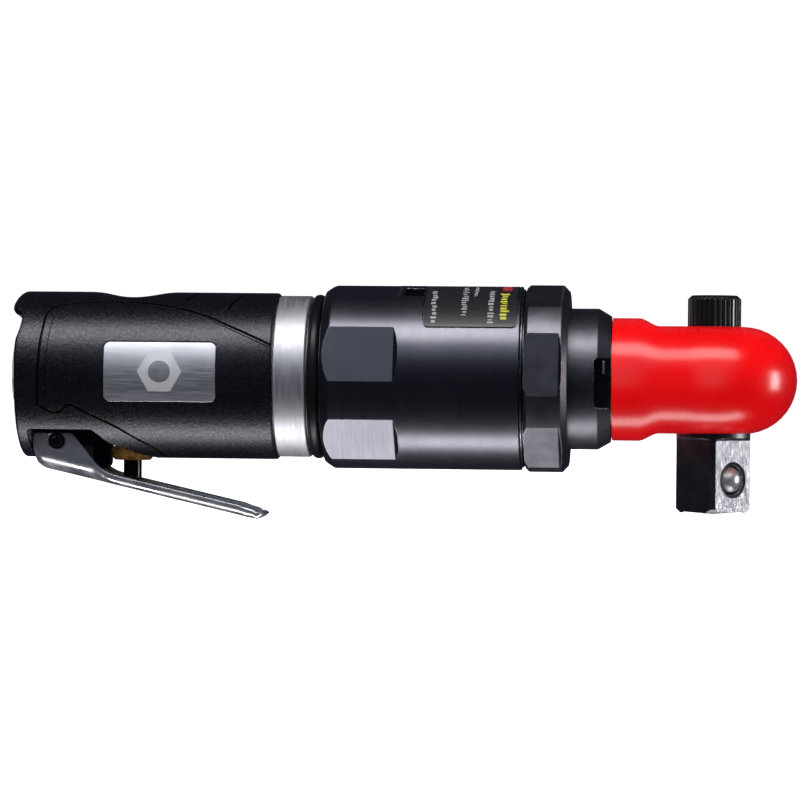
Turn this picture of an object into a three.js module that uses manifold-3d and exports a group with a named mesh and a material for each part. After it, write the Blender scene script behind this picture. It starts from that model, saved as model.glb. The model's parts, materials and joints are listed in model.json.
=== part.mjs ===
// Pneumatic ratchet wrench with a half-inch square drive.
//
// The tool axis lies along +X, from the air inlet at the back to the ratchet head at the front.
// The drive square points down, along -Z, and its end face is at the origin.
// Inside this file every piece is drawn in tool coordinates, where the tool axis is z = 0;
// the root group lifts the tool so that the end of the drive square is at z = 0.

import * as THREE from 'three';
import { mergeVertices } from 'three/addons/utils/BufferGeometryUtils.js';
import Module from 'manifold-3d';

const wasm = await Module();
wasm.setup();

// ---------------------------------------------------------------- driving dimensions, mm

const AXIS_HEIGHT = 30.5; // tool axis above the end of the drive square
const GAP = 0.3; // between neighbouring pieces
const DEGREE = Math.PI / 180;

const GRIP_BACK = -158.2;
const GRIP_FRONT = -99.5;
const GRIP_RADIUS = 19.1;
const GRIP_BORE = 16.8;

const BODY_RADIUS = 16.5; // throttle body and motor housing, inside the grip
const BODY_BACK = -155.4;
const MOTOR_BACK = -126.7;
const COLLAR_BACK = GRIP_FRONT + GAP;
const COLLAR_FRONT = -91.9;
const COLLAR_RADIUS = 18.5;

const BARREL_BACK = -88.5;
const BARREL_FRONT = -42.9;
const BARREL_RADIUS = 21.0;
const BARREL_BORE = 17.8;
const NUT_FRONT = -32.8;
const NUT_RADIUS = 21.35;

const NECK_RADIUS = 16.1;
const BOOT_BACK = -23.0;
const COLLAR_END = -17.1; // where the round end of the boot starts to flatten
const HEAD_START = -12.3; // where the boot reaches the thickness of the head
const TANGENT_X = -6.3; // where the sides of the boot, seen from above, meet the round head
const BOOT_COLLAR_RADIUS = 14.0;
const HEAD_HALF_HEIGHT = 12.2;
const HEAD_RADIUS = 18.9;

const DRIVE_SQUARE = 12.7;
const DRIVE_END = -AXIS_HEIGHT;
const SQUARE_TOP = -13.6;

const LEVER_PIVOT = [-150.0, -15.2]; // x, z
const LEVER_SLOPE = 0.2293; // fall of the lever's underside towards its tip
const LEVER_HALF_WIDTH = 7.5;
const LEVER_SHEET = 1.2;
const VALVE_X = -133.4;

const GEAR_MODULE = 1.0;
const PRESSURE_ANGLE = 20 * DEGREE;
const SUN_TEETH = 12;
const PLANET_TEETH = 9;
const RING_TEETH = 30;
const PLANETS = 3;
const ADDENDUM = 0.75;
const DEDENDUM = 1.05;
const PLANET_ORBIT = ((SUN_TEETH + PLANET_TEETH) * GEAR_MODULE) / 2;

const BLADES = 5;
const CRANK_THROW = 1.3;
const YOKE_TEETH = 48;
const SELECTOR_REST = -20 * DEGREE; // where the selector's plungers point at rest
const PAWL_REST = 5 * DEGREE; // tilt of the pawls at rest

// ---------------------------------------------------------------- solids

// A closed geometry as a solid, with its shared vertices merged and its faces pointing out.
function solidFrom(geometry) {
  geometry.deleteAttribute('normal');
  geometry.deleteAttribute('uv');
  const merged = mergeVertices(geometry, 1e-4);
  const vertices = new Float32Array(merged.getAttribute('position').array);
  const corners = merged.index.array;
  const triangles = [];
  let volume = 0;
  const [a, b, c] = [new THREE.Vector3(), new THREE.Vector3(), new THREE.Vector3()];
  for (let i = 0; i < corners.length; i += 3) {
    const [p, q, r] = corners.slice(i, i + 3);
    if (p === q || q === r || r === p) continue;
    triangles.push(p, q, r);
    a.fromArray(vertices, 3 * p);
    b.fromArray(vertices, 3 * q);
    c.fromArray(vertices, 3 * r);
    volume += a.dot(b.cross(c));
  }
  if (volume < 0) triangles.reverse();
  const mesh = new wasm.Mesh({
    numProp: 3,
    vertProperties: vertices,
    triVerts: new Uint32Array(triangles),
  });
  return new wasm.Manifold(mesh);
}

const asSolid = (shape) => (shape.isBufferGeometry ? solidFrom(shape) : shape);
const join = (...shapes) => shapes.map(asSolid).reduce((whole, shape) => whole.add(shape));
const common = (...shapes) => shapes.map(asSolid).reduce((whole, shape) => whole.intersect(shape));
const cut = (base, ...tools) =>
  tools.map(asSolid).reduce((whole, tool) => whole.subtract(tool), asSolid(base));

// A turned shape about Y from points [radius, height]; one that keeps off the axis closes on itself.
function lathe(profile, segments) {
  const points = profile.map(([radius, height]) => new THREE.Vector2(radius, height));
  if (points[0].x > 0) points.push(points[0].clone());
  return new THREE.LatheGeometry(points, segments);
}

const aboutX = (profile, segments = 32) =>
  lathe(profile.map(([x, radius]) => [radius, x]), segments).rotateZ(-Math.PI / 2);
const aboutZ = (profile, segments = 24) => lathe(profile, segments).rotateX(Math.PI / 2);

const rodX = (radius, from, to, segments = 16) =>
  aboutX([[from, 0], [from, radius], [to, radius], [to, 0]], segments);
const rodZ = (radius, from, to, segments = 16) =>
  aboutZ([[0, from], [radius, from], [radius, to], [0, to]], segments);
const rodY = (radius, from, to, segments = 12) =>
  lathe([[0, from], [radius, from], [radius, to], [0, to]], segments);
const tubeX = (inner, outer, from, to, segments = 20) =>
  aboutX([[from, inner], [from, outer], [to, outer], [to, inner]], segments);
const tubeZ = (inner, outer, from, to, segments = 20) =>
  aboutZ([[inner, from], [outer, from], [outer, to], [inner, to]], segments);

function block([x0, x1], [y0, y1], [z0, z1]) {
  const box = new THREE.BoxGeometry(x1 - x0, y1 - y0, z1 - z0);
  return box.translate((x0 + x1) / 2, (y0 + y1) / 2, (z0 + z1) / 2);
}

const extruded = (shape, depth) => new THREE.ExtrudeGeometry(shape, { depth, bevelEnabled: false });
const outline = (points) => new THREE.Shape(points.map(([x, y]) => new THREE.Vector2(x, y)));
const prismXY = (points, from, to) => extruded(outline(points), to - from).translate(0, 0, from);
const prismXZ = (points, from, to) =>
  extruded(outline(points), to - from).rotateX(Math.PI / 2).translate(0, to, 0);
const prismYZ = (points, from, to) =>
  extruded(outline(points), to - from)
    .applyMatrix4(new THREE.Matrix4().set(0, 0, 1, 0, 1, 0, 0, 0, 0, 1, 0, 0, 0, 0, 0, 1))
    .translate(from, 0, 0);

const circle = (radius, count, phase = 0) =>
  Array.from({ length: count }, (_, i) => {
    const angle = phase + (i * 2 * Math.PI) / count;
    return [radius * Math.cos(angle), radius * Math.sin(angle)];
  });

// A skin over rings of equal length, closed by a flat cap at each end.
// A last ring that folds onto a line closes by itself and takes no cap.
function loft(rings, capLast = true) {
  const count = rings[0].length;
  const position = rings.flat(2);
  const index = [];
  for (let ring = 0; ring + 1 < rings.length; ring += 1) {
    for (let i = 0; i < count; i += 1) {
      const here = ring * count + i;
      const next = ring * count + ((i + 1) % count);
      index.push(here, next, here + count, next, next + count, here + count);
    }
  }
  const last = (rings.length - 1) * count;
  for (let i = 1; i + 1 < count; i += 1) {
    index.push(0, i + 1, i);
    if (capLast) index.push(last, last + i, last + i + 1);
  }
  const geometry = new THREE.BufferGeometry();
  geometry.setAttribute('position', new THREE.Float32BufferAttribute(position, 3));
  geometry.setIndex(index);
  return geometry;
}

// A coil spring standing along Z, as one bent wire.
function coilZ(radius, wire, from, to, turns) {
  const steps = turns * 8;
  const points = Array.from({ length: steps + 1 }, (_, i) => {
    const angle = (i / steps) * turns * 2 * Math.PI;
    const height = from + wire + ((to - from - 2 * wire) * i) / steps;
    return new THREE.Vector3(radius * Math.cos(angle), radius * Math.sin(angle), height);
  });
  const section = outline(circle(wire, 5));
  const extrudePath = new THREE.CatmullRomCurve3(points);
  return new THREE.ExtrudeGeometry(section, { steps, extrudePath, bevelEnabled: false });
}

// ---------------------------------------------------------------- scene graph

const tool = new THREE.Group();
tool.position.z = AXIS_HEIGHT;

const FINISHES = {
  composite: [0x1d1c22, 0.75, 0.0],
  rubber: [0x141414, 0.85, 0.0],
  redRubber: [0xe01818, 0.4, 0.0],
  aluminium: [0xb9bcc2, 0.35, 0.9],
  darkMetal: [0x16181f, 0.45, 0.6],
  blueBlack: [0x1b1f33, 0.35, 0.7],
  blackSteel: [0x222329, 0.45, 0.7],
  steel: [0x9a9ca3, 0.35, 0.9],
  chrome: [0xd4d6da, 0.12, 1.0],
  brass: [0xa8843a, 0.35, 0.9],
  label: [0x121212, 0.5, 0.0],
  bladeComposite: [0x5a4632, 0.7, 0.0],
};

function piece(name, shape, finish) {
  const { vertProperties, triVerts } = asSolid(shape).getMesh();
  const geometry = new THREE.BufferGeometry();
  geometry.setAttribute('position', new THREE.BufferAttribute(vertProperties, 3));
  geometry.setIndex(new THREE.BufferAttribute(triVerts, 1));
  geometry.computeVertexNormals();
  const [color, roughness, metalness] = FINISHES[finish];
  const material = new THREE.MeshStandardMaterial({ color, roughness, metalness });
  const mesh = new THREE.Mesh(geometry, material);
  mesh.name = name;
  tool.add(mesh);
  return mesh;
}

// ---------------------------------------------------------------- handle and throttle

const undersideOfLever = (x) => -22.67 - LEVER_SLOPE * (x + 149.2);

const BADGE = { x: -124.7, z: 0.7, halfLength: 12.7, halfHeight: 6.65 };

// The badge's outline pushed out to the near side of the grip.
const badgeBlock = (margin) =>
  block(
    [BADGE.x - BADGE.halfLength - margin, BADGE.x + BADGE.halfLength + margin],
    [-GRIP_RADIUS - 1, -10],
    [BADGE.z - BADGE.halfHeight - margin, BADGE.z + BADGE.halfHeight + margin],
  );

function handleGrip() {
  const sleeve = aboutX([
    [GRIP_BACK, 17.3],
    [GRIP_BACK, 18.2],
    [GRIP_BACK + 0.9, GRIP_RADIUS],
    [GRIP_FRONT - 0.6, GRIP_RADIUS],
    [GRIP_FRONT, GRIP_RADIUS - 0.5],
    [GRIP_FRONT, GRIP_BORE],
    [BODY_BACK - 0.2, GRIP_BORE],
    [BODY_BACK - 0.2, 17.3],
  ]);
  const leverBay = prismXZ(
    [[-155.7, -30], [-155.7, -12.5], [-140.8, -12.5], [-137.1, -15.7], [-134, -16.9], [-126.4, -19.4], [-126.4, -30]],
    -20,
    20,
  );
  const bushingHole = rodZ(5.4, -30, -14).translate(VALVE_X, 0, 0);
  const thumbDip = rodY(21, -20, 20, 48).translate(-133, 0, GRIP_RADIUS + 21 - 1.2);
  const badgeRecess = common(tubeX(18.5, 25, -140, -110, 60), badgeBlock(GAP));
  const rimNotches = [-1, 1].map((side) =>
    block([-170, -156.7], side < 0 ? [-25, -9] : [9, 25], [-4, 15]),
  );
  piece('handle_grip', cut(sleeve, leverBay, bushingHole, thumbDip, badgeRecess, ...rimNotches), 'composite');
}

function badgePlate() {
  const skin = tubeX(18.85, 19.35, -140, -110, 60);
  piece('badge_plate', common(skin, badgeBlock(0)), 'aluminium');
}

function throttleBody() {
  const body = aboutX([[BODY_BACK, 0], [BODY_BACK, BODY_RADIUS], [-127, BODY_RADIUS], [-127, 0]]);
  const pinLug = block([-154.3, -145.7], [-5.2, 5.2], [-18.8, -10]);
  const stopLug = join(
    block([-142.3, -138.1], [-3, 3], [-20.1, -10]),
    rodY(2.1, -3, 3).translate(-140.2, 0, -20.1),
  );
  const earSlots = [-1, 1].map((side) =>
    block([-160, -139.5], side < 0 ? [-20, -5.3] : [5.3, 20], [-25, -12.3]),
  );
  const inletBore = rodX(7.8, -160, -143.7);
  const inletPassage = rodX(3.4, -145, VALVE_X, 16).translate(0, 0, 1.5);
  const motorPassage = rodX(2.2, VALVE_X, -120, 16).translate(0, 0, -6);
  const exhausts = [-1, 1].map((side) => rodX(2, -160, -120, 12).translate(0, side * 10.5, 4));
  const valveBores = [
    [4.4, -3, 20],
    [5.0, 9, 20],
    [3.0, -12, 0],
    [4.1, -25, -9],
    [5.2, -25, -16.1],
  ].map(([radius, from, to]) => rodZ(radius, from, to, 20).translate(VALVE_X, 0, 0));
  const pinHole = rodY(1.85, -20, 20).translate(LEVER_PIVOT[0], 0, LEVER_PIVOT[1]);
  piece(
    'throttle_body',
    cut(
      cut(join(body, pinLug, stopLug), ...earSlots, inletBore, inletPassage, motorPassage),
      ...exhausts,
      ...valveBores,
      pinHole,
    ),
    'darkMetal',
  );
}

function throttleParts() {
  const bushing = cut(
    aboutZ([[0, -19.6], [4.2, -19.6], [4.85, -18.9], [4.85, -16.4], [3.8, -16.4], [3.8, -9.3], [0, -9.3]], 24),
    rodZ(2.4, -30, 0, 16),
  );
  piece('valve_bushing', bushing, 'brass').position.x = VALVE_X;

  const stem = [[0, -24.5], [1.2, -24.3], [2.1, -23.6], [2.1, -2.7]];
  const head = [[3.9, -2.7], [3.9, -1.3], [3.5, -0.9], [0, -0.9]];
  piece('throttle_valve', aboutZ([...stem, ...head], 20), 'blackSteel').position.x = VALVE_X;

  piece('valve_spring', coilZ(2.9, 0.35, -0.6, 8.9, 5), 'steel').position.x = VALVE_X;

  const cap = cut(rodZ(4.7, 9.3, 14.5, 20), block([-0.6, 0.6], [-5, 5], [13.3, 16]));
  piece('valve_cap', cap, 'brass').position.x = VALVE_X;

  const pin = cut(rodY(1.55, -7.4, 7.4), rodY(0.85, -8, 8));
  const rollPin = piece('lever_pin', pin, 'steel');
  rollPin.position.set(LEVER_PIVOT[0], 0, LEVER_PIVOT[1]);
}

function throttleLever() {
  const back = -155.3;
  const sideView = [
    [back, -13.4],
    [back, -19.6],
    [-153.3, undersideOfLever(-153.3)],
    [-106.2, undersideOfLever(-106.2)],
    [-103.6, -32.8],
    [-102.3, -32.2],
    [-101.7, -31.2],
    [-102.3, -31.2],
    [-103.6, -31.4],
    [-105.0, -30.3],
    [-107.6, -29.2],
    [-134.3, -23.3],
    [-138.0, -22.3],
    [-140.9, -20.3],
    [-146.2, -13.4],
  ];
  const insideFloor = (x) => undersideOfLever(x) + LEVER_SHEET;
  const channel = prismXZ(
    [[-160, insideFloor(-160)], [-104.6, insideFloor(-104.6)], [-101, insideFloor(-101)], [-101, 0], [-160, 0]],
    LEVER_SHEET - LEVER_HALF_WIDTH,
    LEVER_HALF_WIDTH - LEVER_SHEET,
  );
  const pinHole = rodY(1.85, -20, 20).translate(LEVER_PIVOT[0], 0, LEVER_PIVOT[1]);
  const bent = cut(prismXZ(sideView, -LEVER_HALF_WIDTH, LEVER_HALF_WIDTH), channel, pinHole);
  piece('throttle_lever', bent, 'chrome');
}

function inletAndExhaust() {
  const bushing = aboutX(
    [[-160.3, 5.6], [-160.3, 8.2], [-159.9, 8.6], [-155.9, 8.6], [-155.9, 7.5], [-144, 7.5], [-144, 5.6]],
    24,
  );
  piece('inlet_bushing', bushing, 'steel');

  const dome = aboutX([
    [-155.8, 9.0],
    [-160.1, 9.0],
    [-159.9, 11.5],
    [-159.1, 14.2],
    [-157.4, 17.0],
    [-155.8, 17.0],
  ]);
  const slots = Array.from({ length: 7 }, (_, i) =>
    block([-170, -150], [-1, 1], [10.8, 14.8]).rotateX((i - 3) * 24 * DEGREE),
  );
  piece('exhaust_deflector', cut(dome, ...slots), 'chrome');
}

// ---------------------------------------------------------------- vane motor

const ROTOR_RADIUS = 8.8;
const ROTOR_BACK = -120.1;
const ROTOR_FRONT = -96.9;
const CYLINDER_OFFSET = 1.3; // bore of the motor cylinder above the rotor's axis

function motorShell() {
  const sleeve = aboutX([
    [MOTOR_BACK, 13.6],
    [MOTOR_BACK, BODY_RADIUS],
    [COLLAR_BACK, BODY_RADIUS],
    [COLLAR_BACK, COLLAR_RADIUS - 0.4],
    [COLLAR_BACK + 0.4, COLLAR_RADIUS],
    [COLLAR_FRONT - 0.4, COLLAR_RADIUS],
    [COLLAR_FRONT, COLLAR_RADIUS - 0.4],
    [COLLAR_FRONT, 16.2],
    [-83.6, 16.2],
    [-83.6, 13.6],
  ]);
  piece('motor_housing', sleeve, 'aluminium');

  const seal = circle(1, 6).map(([x, radius]) => [-90.2 + 1.35 * x, 17.75 + 1.25 * radius]);
  piece('front_o_ring', aboutX(seal), 'rubber');

  const bore = rodX(10.4, -130, -90, 24).translate(0, 0, CYLINDER_OFFSET);
  const airSlot = block([-115, -102], [-1.5, 1.5], [-15, -6]).rotateX(-60 * DEGREE);
  const exhaustSlots = [-112, -108.5, -105].map((x) => block([x - 1, x + 1], [-3, 3], [8, 15]));
  const cylinder = rodX(13.3, -120.4, -96.6, 24);
  piece('motor_cylinder', cut(cylinder, bore, airSlot, ...exhaustSlots), 'steel');
}

function endPlates() {
  const rear = [[-126.4, 6.7], [-126.4, 13.3], [-120.7, 13.3], [-120.7, 3.5], [-122, 3.5], [-122, 6.7]];
  const front = [[-96.3, 3.5], [-96.3, 13.3], [-90.9, 13.3], [-90.9, 6.7], [-95, 6.7], [-95, 3.5]];
  piece('rear_end_plate', aboutX(rear, 24), 'steel');
  piece('front_end_plate', aboutX(front, 24), 'steel');
  piece('rear_bearing', tubeX(3.3, 6.4, -126.1, -122.3), 'chrome');
  piece('front_bearing', tubeX(3.3, 6.4, -94.7, -91.1), 'chrome');
  piece('motor_clamp_ring', tubeX(9, 13.3, -90.6, -83.6, 24), 'steel');
}

function rotorAndBlades() {
  const shaft = rodX(3.0, -125.8, -80);
  const drum = rodX(ROTOR_RADIUS, ROTOR_BACK, ROTOR_FRONT, 30);
  const slots = Array.from({ length: BLADES }, (_, i) =>
    block([-121, -96], [-1.1, 1.1], [3.6, 12]).rotateX((i * 2 * Math.PI) / BLADES),
  );
  const pinion = prismYZ(gearOutline(SUN_TEETH, ADDENDUM, DEDENDUM, 0.08), -83.9, -71.6);
  piece('rotor', cut(join(shaft, drum, pinion), ...slots), 'steel');

  for (let i = 0; i < BLADES; i += 1) {
    const blade = block([ROTOR_BACK + GAP, ROTOR_FRONT - GAP], [-0.8, 0.8], [3.9, ROTOR_RADIUS]);
    const mesh = piece(`rotor_blade_${i + 1}`, blade, 'bladeComposite');
    mesh.rotation.x = (i * 2 * Math.PI) / BLADES;
  }
}

// ---------------------------------------------------------------- planetary gears

// Involute outline of a gear in its own plane, with a tooth centred on the first axis.
// Thinning is what each flank gives up at the pitch circle; a negative one widens the teeth.
function gearOutline(teeth, addendum, dedendum, thinning) {
  const pitch = (teeth * GEAR_MODULE) / 2;
  const base = pitch * Math.cos(PRESSURE_ANGLE);
  const involute = (radius) => {
    const angle = Math.acos(Math.min(1, base / radius));
    return Math.tan(angle) - angle;
  };
  const halfTooth = (radius) =>
    Math.PI / (2 * teeth) - thinning / pitch + involute(pitch) - involute(Math.max(radius, base));
  const radii = [pitch - dedendum, Math.max(base, pitch - dedendum / 2), pitch + addendum / 4, pitch + addendum];
  const points = [];
  for (let tooth = 0; tooth < teeth; tooth += 1) {
    const centre = (tooth * 2 * Math.PI) / teeth;
    const rising = radii.map((radius) => [radius, centre - halfTooth(radius)]);
    const falling = radii.map((radius) => [radius, centre + halfTooth(radius)]).reverse();
    for (const [radius, angle] of [...rising, ...falling]) {
      points.push([radius * Math.cos(angle), radius * Math.sin(angle)]);
    }
  }
  return points;
}

// Turn of a planet at an orbit angle that puts one of its gaps on a tooth of the sun.
const planetPhase = (orbit) =>
  (SUN_TEETH * orbit + PLANET_TEETH * (orbit + Math.PI) - Math.PI) / PLANET_TEETH;

// Turn of the ring gear that puts one of its tooth spaces on a tooth of the first planet.
const ringPhase = (PLANET_TEETH * planetPhase(0)) / RING_TEETH;

function gearTrain() {
  const teethSpace = gearOutline(RING_TEETH, DEDENDUM, ADDENDUM, -0.1);
  const ring = cut(
    rodX(17.5, -82.9, -70.7, 30),
    prismYZ(teethSpace, -90, -60).rotateX(ringPhase),
  );
  piece('ring_gear', ring, 'steel');

  const planet = cut(
    prismYZ(gearOutline(PLANET_TEETH, ADDENDUM, DEDENDUM, 0.08), -82.5, -71.1),
    rodX(1.9, -90, -60, 14),
  );
  const orbits = Array.from({ length: PLANETS }, (_, i) => (i * 2 * Math.PI) / PLANETS);
  orbits.forEach((orbit, i) => {
    const [y, z] = [PLANET_ORBIT * Math.cos(orbit), PLANET_ORBIT * Math.sin(orbit)];
    const gear = piece(`planet_gear_${i + 1}`, planet, 'steel');
    gear.position.set(0, y, z);
    gear.rotation.x = planetPhase(orbit);
    const pin = piece(`planet_pin_${i + 1}`, rodX(1.6, -82.2, -65.6, 14), 'steel');
    pin.position.set(0, y, z);
  });

  const pinHoles = orbits.map((orbit) =>
    rodX(1.9, -90, -50, 14).translate(0, PLANET_ORBIT * Math.cos(orbit), PLANET_ORBIT * Math.sin(orbit)),
  );
  const disc = aboutX([[-70.4, 0], [-70.4, 16.8], [-65.2, 16.8], [-65.2, 9.7], [-57.5, 9.7], [-57.5, 0]], 24);
  const hexSocket = prismYZ(circle(5.4, 6), -66.6, -50);
  piece('planet_carrier', cut(disc, ...pinHoles, hexSocket), 'steel');
  piece('carrier_bearing', tubeX(10, 17.5, -64.9, -57.4, 24), 'chrome');
}

// ---------------------------------------------------------------- barrel and nut

// A wedge that mills one flat on a round body; angle 0 faces -Y and turns up towards +Z.
function flatCutter(from, to, ramp, distance, angle) {
  const sideView = [[from, distance], [to, distance], [to + ramp, distance + 2.5], [from, distance + 2.5]];
  return prismXZ(sideView, -14, 14).rotateX(angle + Math.PI / 2);
}

const LABEL = { from: -65.2, to: -44.4, low: 33.5 * DEGREE, high: 138.5 * DEGREE };

// A block that covers the label's place on the barrel, from its low to its high edge.
function labelSector(margin) {
  const spread = margin / BARREL_RADIUS;
  const steps = 8;
  const rim = Array.from({ length: steps + 1 }, (_, i) => {
    const angle = LABEL.low - spread + ((LABEL.high - LABEL.low + 2 * spread) * i) / steps;
    return [-30 * Math.cos(angle), 30 * Math.sin(angle)];
  });
  return prismYZ([[0, 0], ...rim], LABEL.from - margin, LABEL.to + margin);
}

function barrelAndNut() {
  const tube = aboutX(
    [
      [BARREL_BACK, 16.5],
      [BARREL_BACK, 19.6],
      [BARREL_BACK + 2.1, BARREL_RADIUS],
      [BARREL_FRONT - 1.6, BARREL_RADIUS],
      [BARREL_FRONT - 0.6, 20.3],
      [BARREL_FRONT, 20.3],
      [BARREL_FRONT, 19.0],
      [-36.9, 19.0],
      [-36.9, BARREL_BORE],
      [-83.3, BARREL_BORE],
      [-83.3, 16.5],
    ],
    40,
  );
  const sixTurns = Array.from({ length: 6 }, (_, i) => i * 60 * DEGREE);
  const flats = sixTurns.map((turn) => flatCutter(-92, -72.0, 1.4, 20.0, turn + 15 * DEGREE));
  const labelRecess = common(tubeX(20.55, 25, -70, -40, 40), labelSector(GAP));
  piece('gear_barrel', cut(tube, ...flats, labelRecess), 'blueBlack');

  const label = common(tubeX(20.85, 21.05, -70, -40, 40), labelSector(0));
  piece('rating_label', label, 'label');

  const nut = aboutX(
    [
      [BARREL_FRONT + GAP, 19.3],
      [BARREL_FRONT + GAP, 20.6],
      [BARREL_FRONT + 1.0, NUT_RADIUS],
      [-34.2, NUT_RADIUS],
      [NUT_FRONT, 19.9],
      [NUT_FRONT, 16.4],
      [-36.3, 16.4],
      [-36.3, 19.3],
    ],
    40,
  );
  const nutFlats = sixTurns.map((turn) => flatCutter(-45, -34.8, 1.2, 20.1, turn + 8.9 * DEGREE));
  piece('clamp_nut', cut(nut, ...nutFlats), 'blackSteel');
}

// ---------------------------------------------------------------- ratchet head

// The outside of the boot, or a shape the given inset inside it: a round collar that flattens
// into a head with full-round edges, which turns half way round the drive axis at its front.
function headShape(inset) {
  const steps = 6;
  const arc = Array.from({ length: steps + 1 }, (_, i) => (i / steps - 0.5) * Math.PI);
  const bothSides = (half) => [...half, ...half.map(([x, y, z]) => [x, -y, -z])];

  const { smoothstep, lerp, clamp } = THREE.MathUtils;
  const alongNeck = [BOOT_BACK, COLLAR_END, -14.7, HEAD_START, TANGENT_X, -3].map((x) => {
    const flattened = smoothstep(x, COLLAR_END, HEAD_START);
    const height = lerp(BOOT_COLLAR_RADIUS, HEAD_HALF_HEIGHT, flattened) - inset;
    const spread = clamp((x - COLLAR_END) / (TANGENT_X - COLLAR_END), 0, 1);
    const side = lerp(BOOT_COLLAR_RADIUS, Math.sqrt(HEAD_RADIUS ** 2 - TANGENT_X ** 2), spread);
    const width = (x > TANGENT_X ? Math.sqrt(HEAD_RADIUS ** 2 - x ** 2) : side) - inset;
    return bothSides(arc.map((a) => [x, width - height + height * Math.cos(a), height * Math.sin(a)]));
  });

  const half = HEAD_HALF_HEIGHT - inset;
  const flat = HEAD_RADIUS - HEAD_HALF_HEIGHT;
  const turns = Array.from({ length: 7 }, (_, i) => i * 15 * DEGREE);
  const aroundFront = turns.map((turn) =>
    bothSides(
      arc.map((a) => {
        const radius = flat + half * Math.cos(a);
        return [radius * Math.sin(turn), radius * Math.cos(turn), half * Math.sin(a)];
      }),
    ),
  );
  return loft([...alongNeck, ...aroundFront], false);
}

function ratchetHousing() {
  const shell = headShape(1.7);
  const neck = aboutX(
    [
      [-57.1, 0],
      [-57.1, 17.5],
      [-36.6, 17.5],
      [-36.6, NECK_RADIUS],
      [-26.1, NECK_RADIUS],
      [BOOT_BACK - GAP, 14.4],
      [BOOT_BACK - GAP, 12.3],
      [-20, 12.3],
      [-20, 0],
    ],
    36,
  );
  const windowRecess = block([-26.9, -22], [-20, -12.9], [-6.6, 4.8]);
  const crankBore = rodX(8.0, -60, -28);
  const discBore = rodX(6.9, -30, -21);
  const cavity = rodZ(12.9, -20, 6.3, 24);
  const channel = block([-22.6, -8], [-9.4, 9.4], [-5, 5]);
  const topBore = rodZ(7.4, 0, 20);
  const ringPocket = rodZ(9.3, 8.6, 20);
  piece(
    'ratchet_housing',
    cut(join(neck, shell), windowRecess, crankBore, discBore, cavity, channel, topBore, ringPocket),
    'blackSteel',
  );

  const coverZone = tubeZ(8.9, 12.6, -20, -6.6, 24);
  piece('head_cover', common(headShape(1.7), coverZone), 'blackSteel');
  piece('yoke_washer', tubeZ(8.9, 12.4, -6.2, -5.1), 'steel');
}

function headBoot() {
  const mouth = rodX(12.7, -40, COLLAR_END, 24);
  const driveHole = rodZ(8.8, -20, 0, 20);
  const knobHole = rodZ(6.5, 0, 20, 20);
  piece('head_boot', cut(headShape(0), headShape(1.3), mouth, driveHole, knobHole), 'redRubber');
}

function crankParts() {
  const shaft = join(
    prismYZ(circle(5.0, 6), -66.2, -57),
    rodX(5.0, -57.2, -26),
    rodX(6.4, -26.9, -22.3),
    rodX(1.8, -23, -15.2, 16).translate(0, 0, CRANK_THROW),
  );
  piece('crankshaft', shaft, 'steel');
  const bushing = piece('drive_bushing', tubeX(2.1, 2.7, -21.4, -15.5, 16), 'steel');
  bushing.position.z = CRANK_THROW;
  piece('crank_bearing_rear', tubeX(5.3, 7.7, -56.5, -46.5), 'chrome');
  piece('crank_bearing_front', tubeX(5.3, 7.7, -39.5, -28.4), 'chrome');
}

function yoke() {
  const half = 4.3;
  const toothed = circle(9.7, YOKE_TEETH)
    .flatMap((root, i) => [root, circle(9.0, YOKE_TEETH, Math.PI / YOKE_TEETH)[i]]);
  const arms = [-1, 1].map((side) => {
    const [near, far] = [side * 5.8, side * 7.6];
    return block([-21.6, -7.5], [Math.min(near, far), Math.max(near, far)], [-half, half]);
  });
  const forged = join(rodZ(12.4, -half, half, 24), ...arms);
  piece('ratchet_yoke', cut(forged, prismXY(toothed, -10, 10)), 'steel');
}

function anvil() {
  const side = DRIVE_SQUARE / 2;
  const bevel = 1.2;
  const square = loft(
    [[DRIVE_END, side - bevel], [DRIVE_END + bevel, side], [-10, side]].map(([z, reach]) =>
      [[-1, -1], [1, -1], [1, 1], [-1, 1]].map(([x, y]) => [x * reach, y * reach, z]),
    ),
  ).rotateZ(Math.PI / 4);
  const envelope = aboutZ([[0, DRIVE_END], [8.35, DRIVE_END], [8.35, -12], [0, -12]], 24);
  const turned = aboutZ(
    [[0, SQUARE_TOP], [8.4, SQUARE_TOP], [8.4, -6.3], [8.5, -6.3], [8.5, 6], [7.1, 6], [7.1, 10.4], [0, 10.4]],
    24,
  );
  const pockets = [-1, 1].map((turn) =>
    block(turn < 0 ? [-12, -3.2] : [3.2, 12], [-5.9, 5.9], [-4.5, 4.5]),
  );
  const plungerWindow = block([-4, 4], [-2.1, 2.1], [-1.4, 1.4]);
  const selectorBore = rodZ(2.5, -4.7, 20);
  const ringGroove = tubeZ(6.2, 9, 8.6, 10.0);
  const pinHoles = [-1, 1].map((turn) => rodZ(1.2, -6, 20, 12).translate(turn * 5.6, 0, 0));
  piece(
    'drive_anvil',
    cut(
      join(common(square, envelope), turned),
      ...pockets,
      plungerWindow,
      selectorBore,
      ringGroove,
      ...pinHoles,
      towardsBall(rodZ(3.4, -2, 12)),
      towardsBall(aboutZ([[0, 5.75], [3.4, 5.75], [4.4, 6.4], [0, 6.4]], 16)),
    ),
    'blackSteel',
  );
  piece('anvil_snap_ring', tubeZ(6.5, 9.0, 8.9, 9.7), 'steel');

  [1, -1].forEach((turn, i) => {
    const pin = piece(`pawl_pin_${i + 1}`, rodZ(0.9, -5.7, 5.7, 12), 'steel');
    pin.position.x = turn * 5.6;
  });
}

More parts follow.
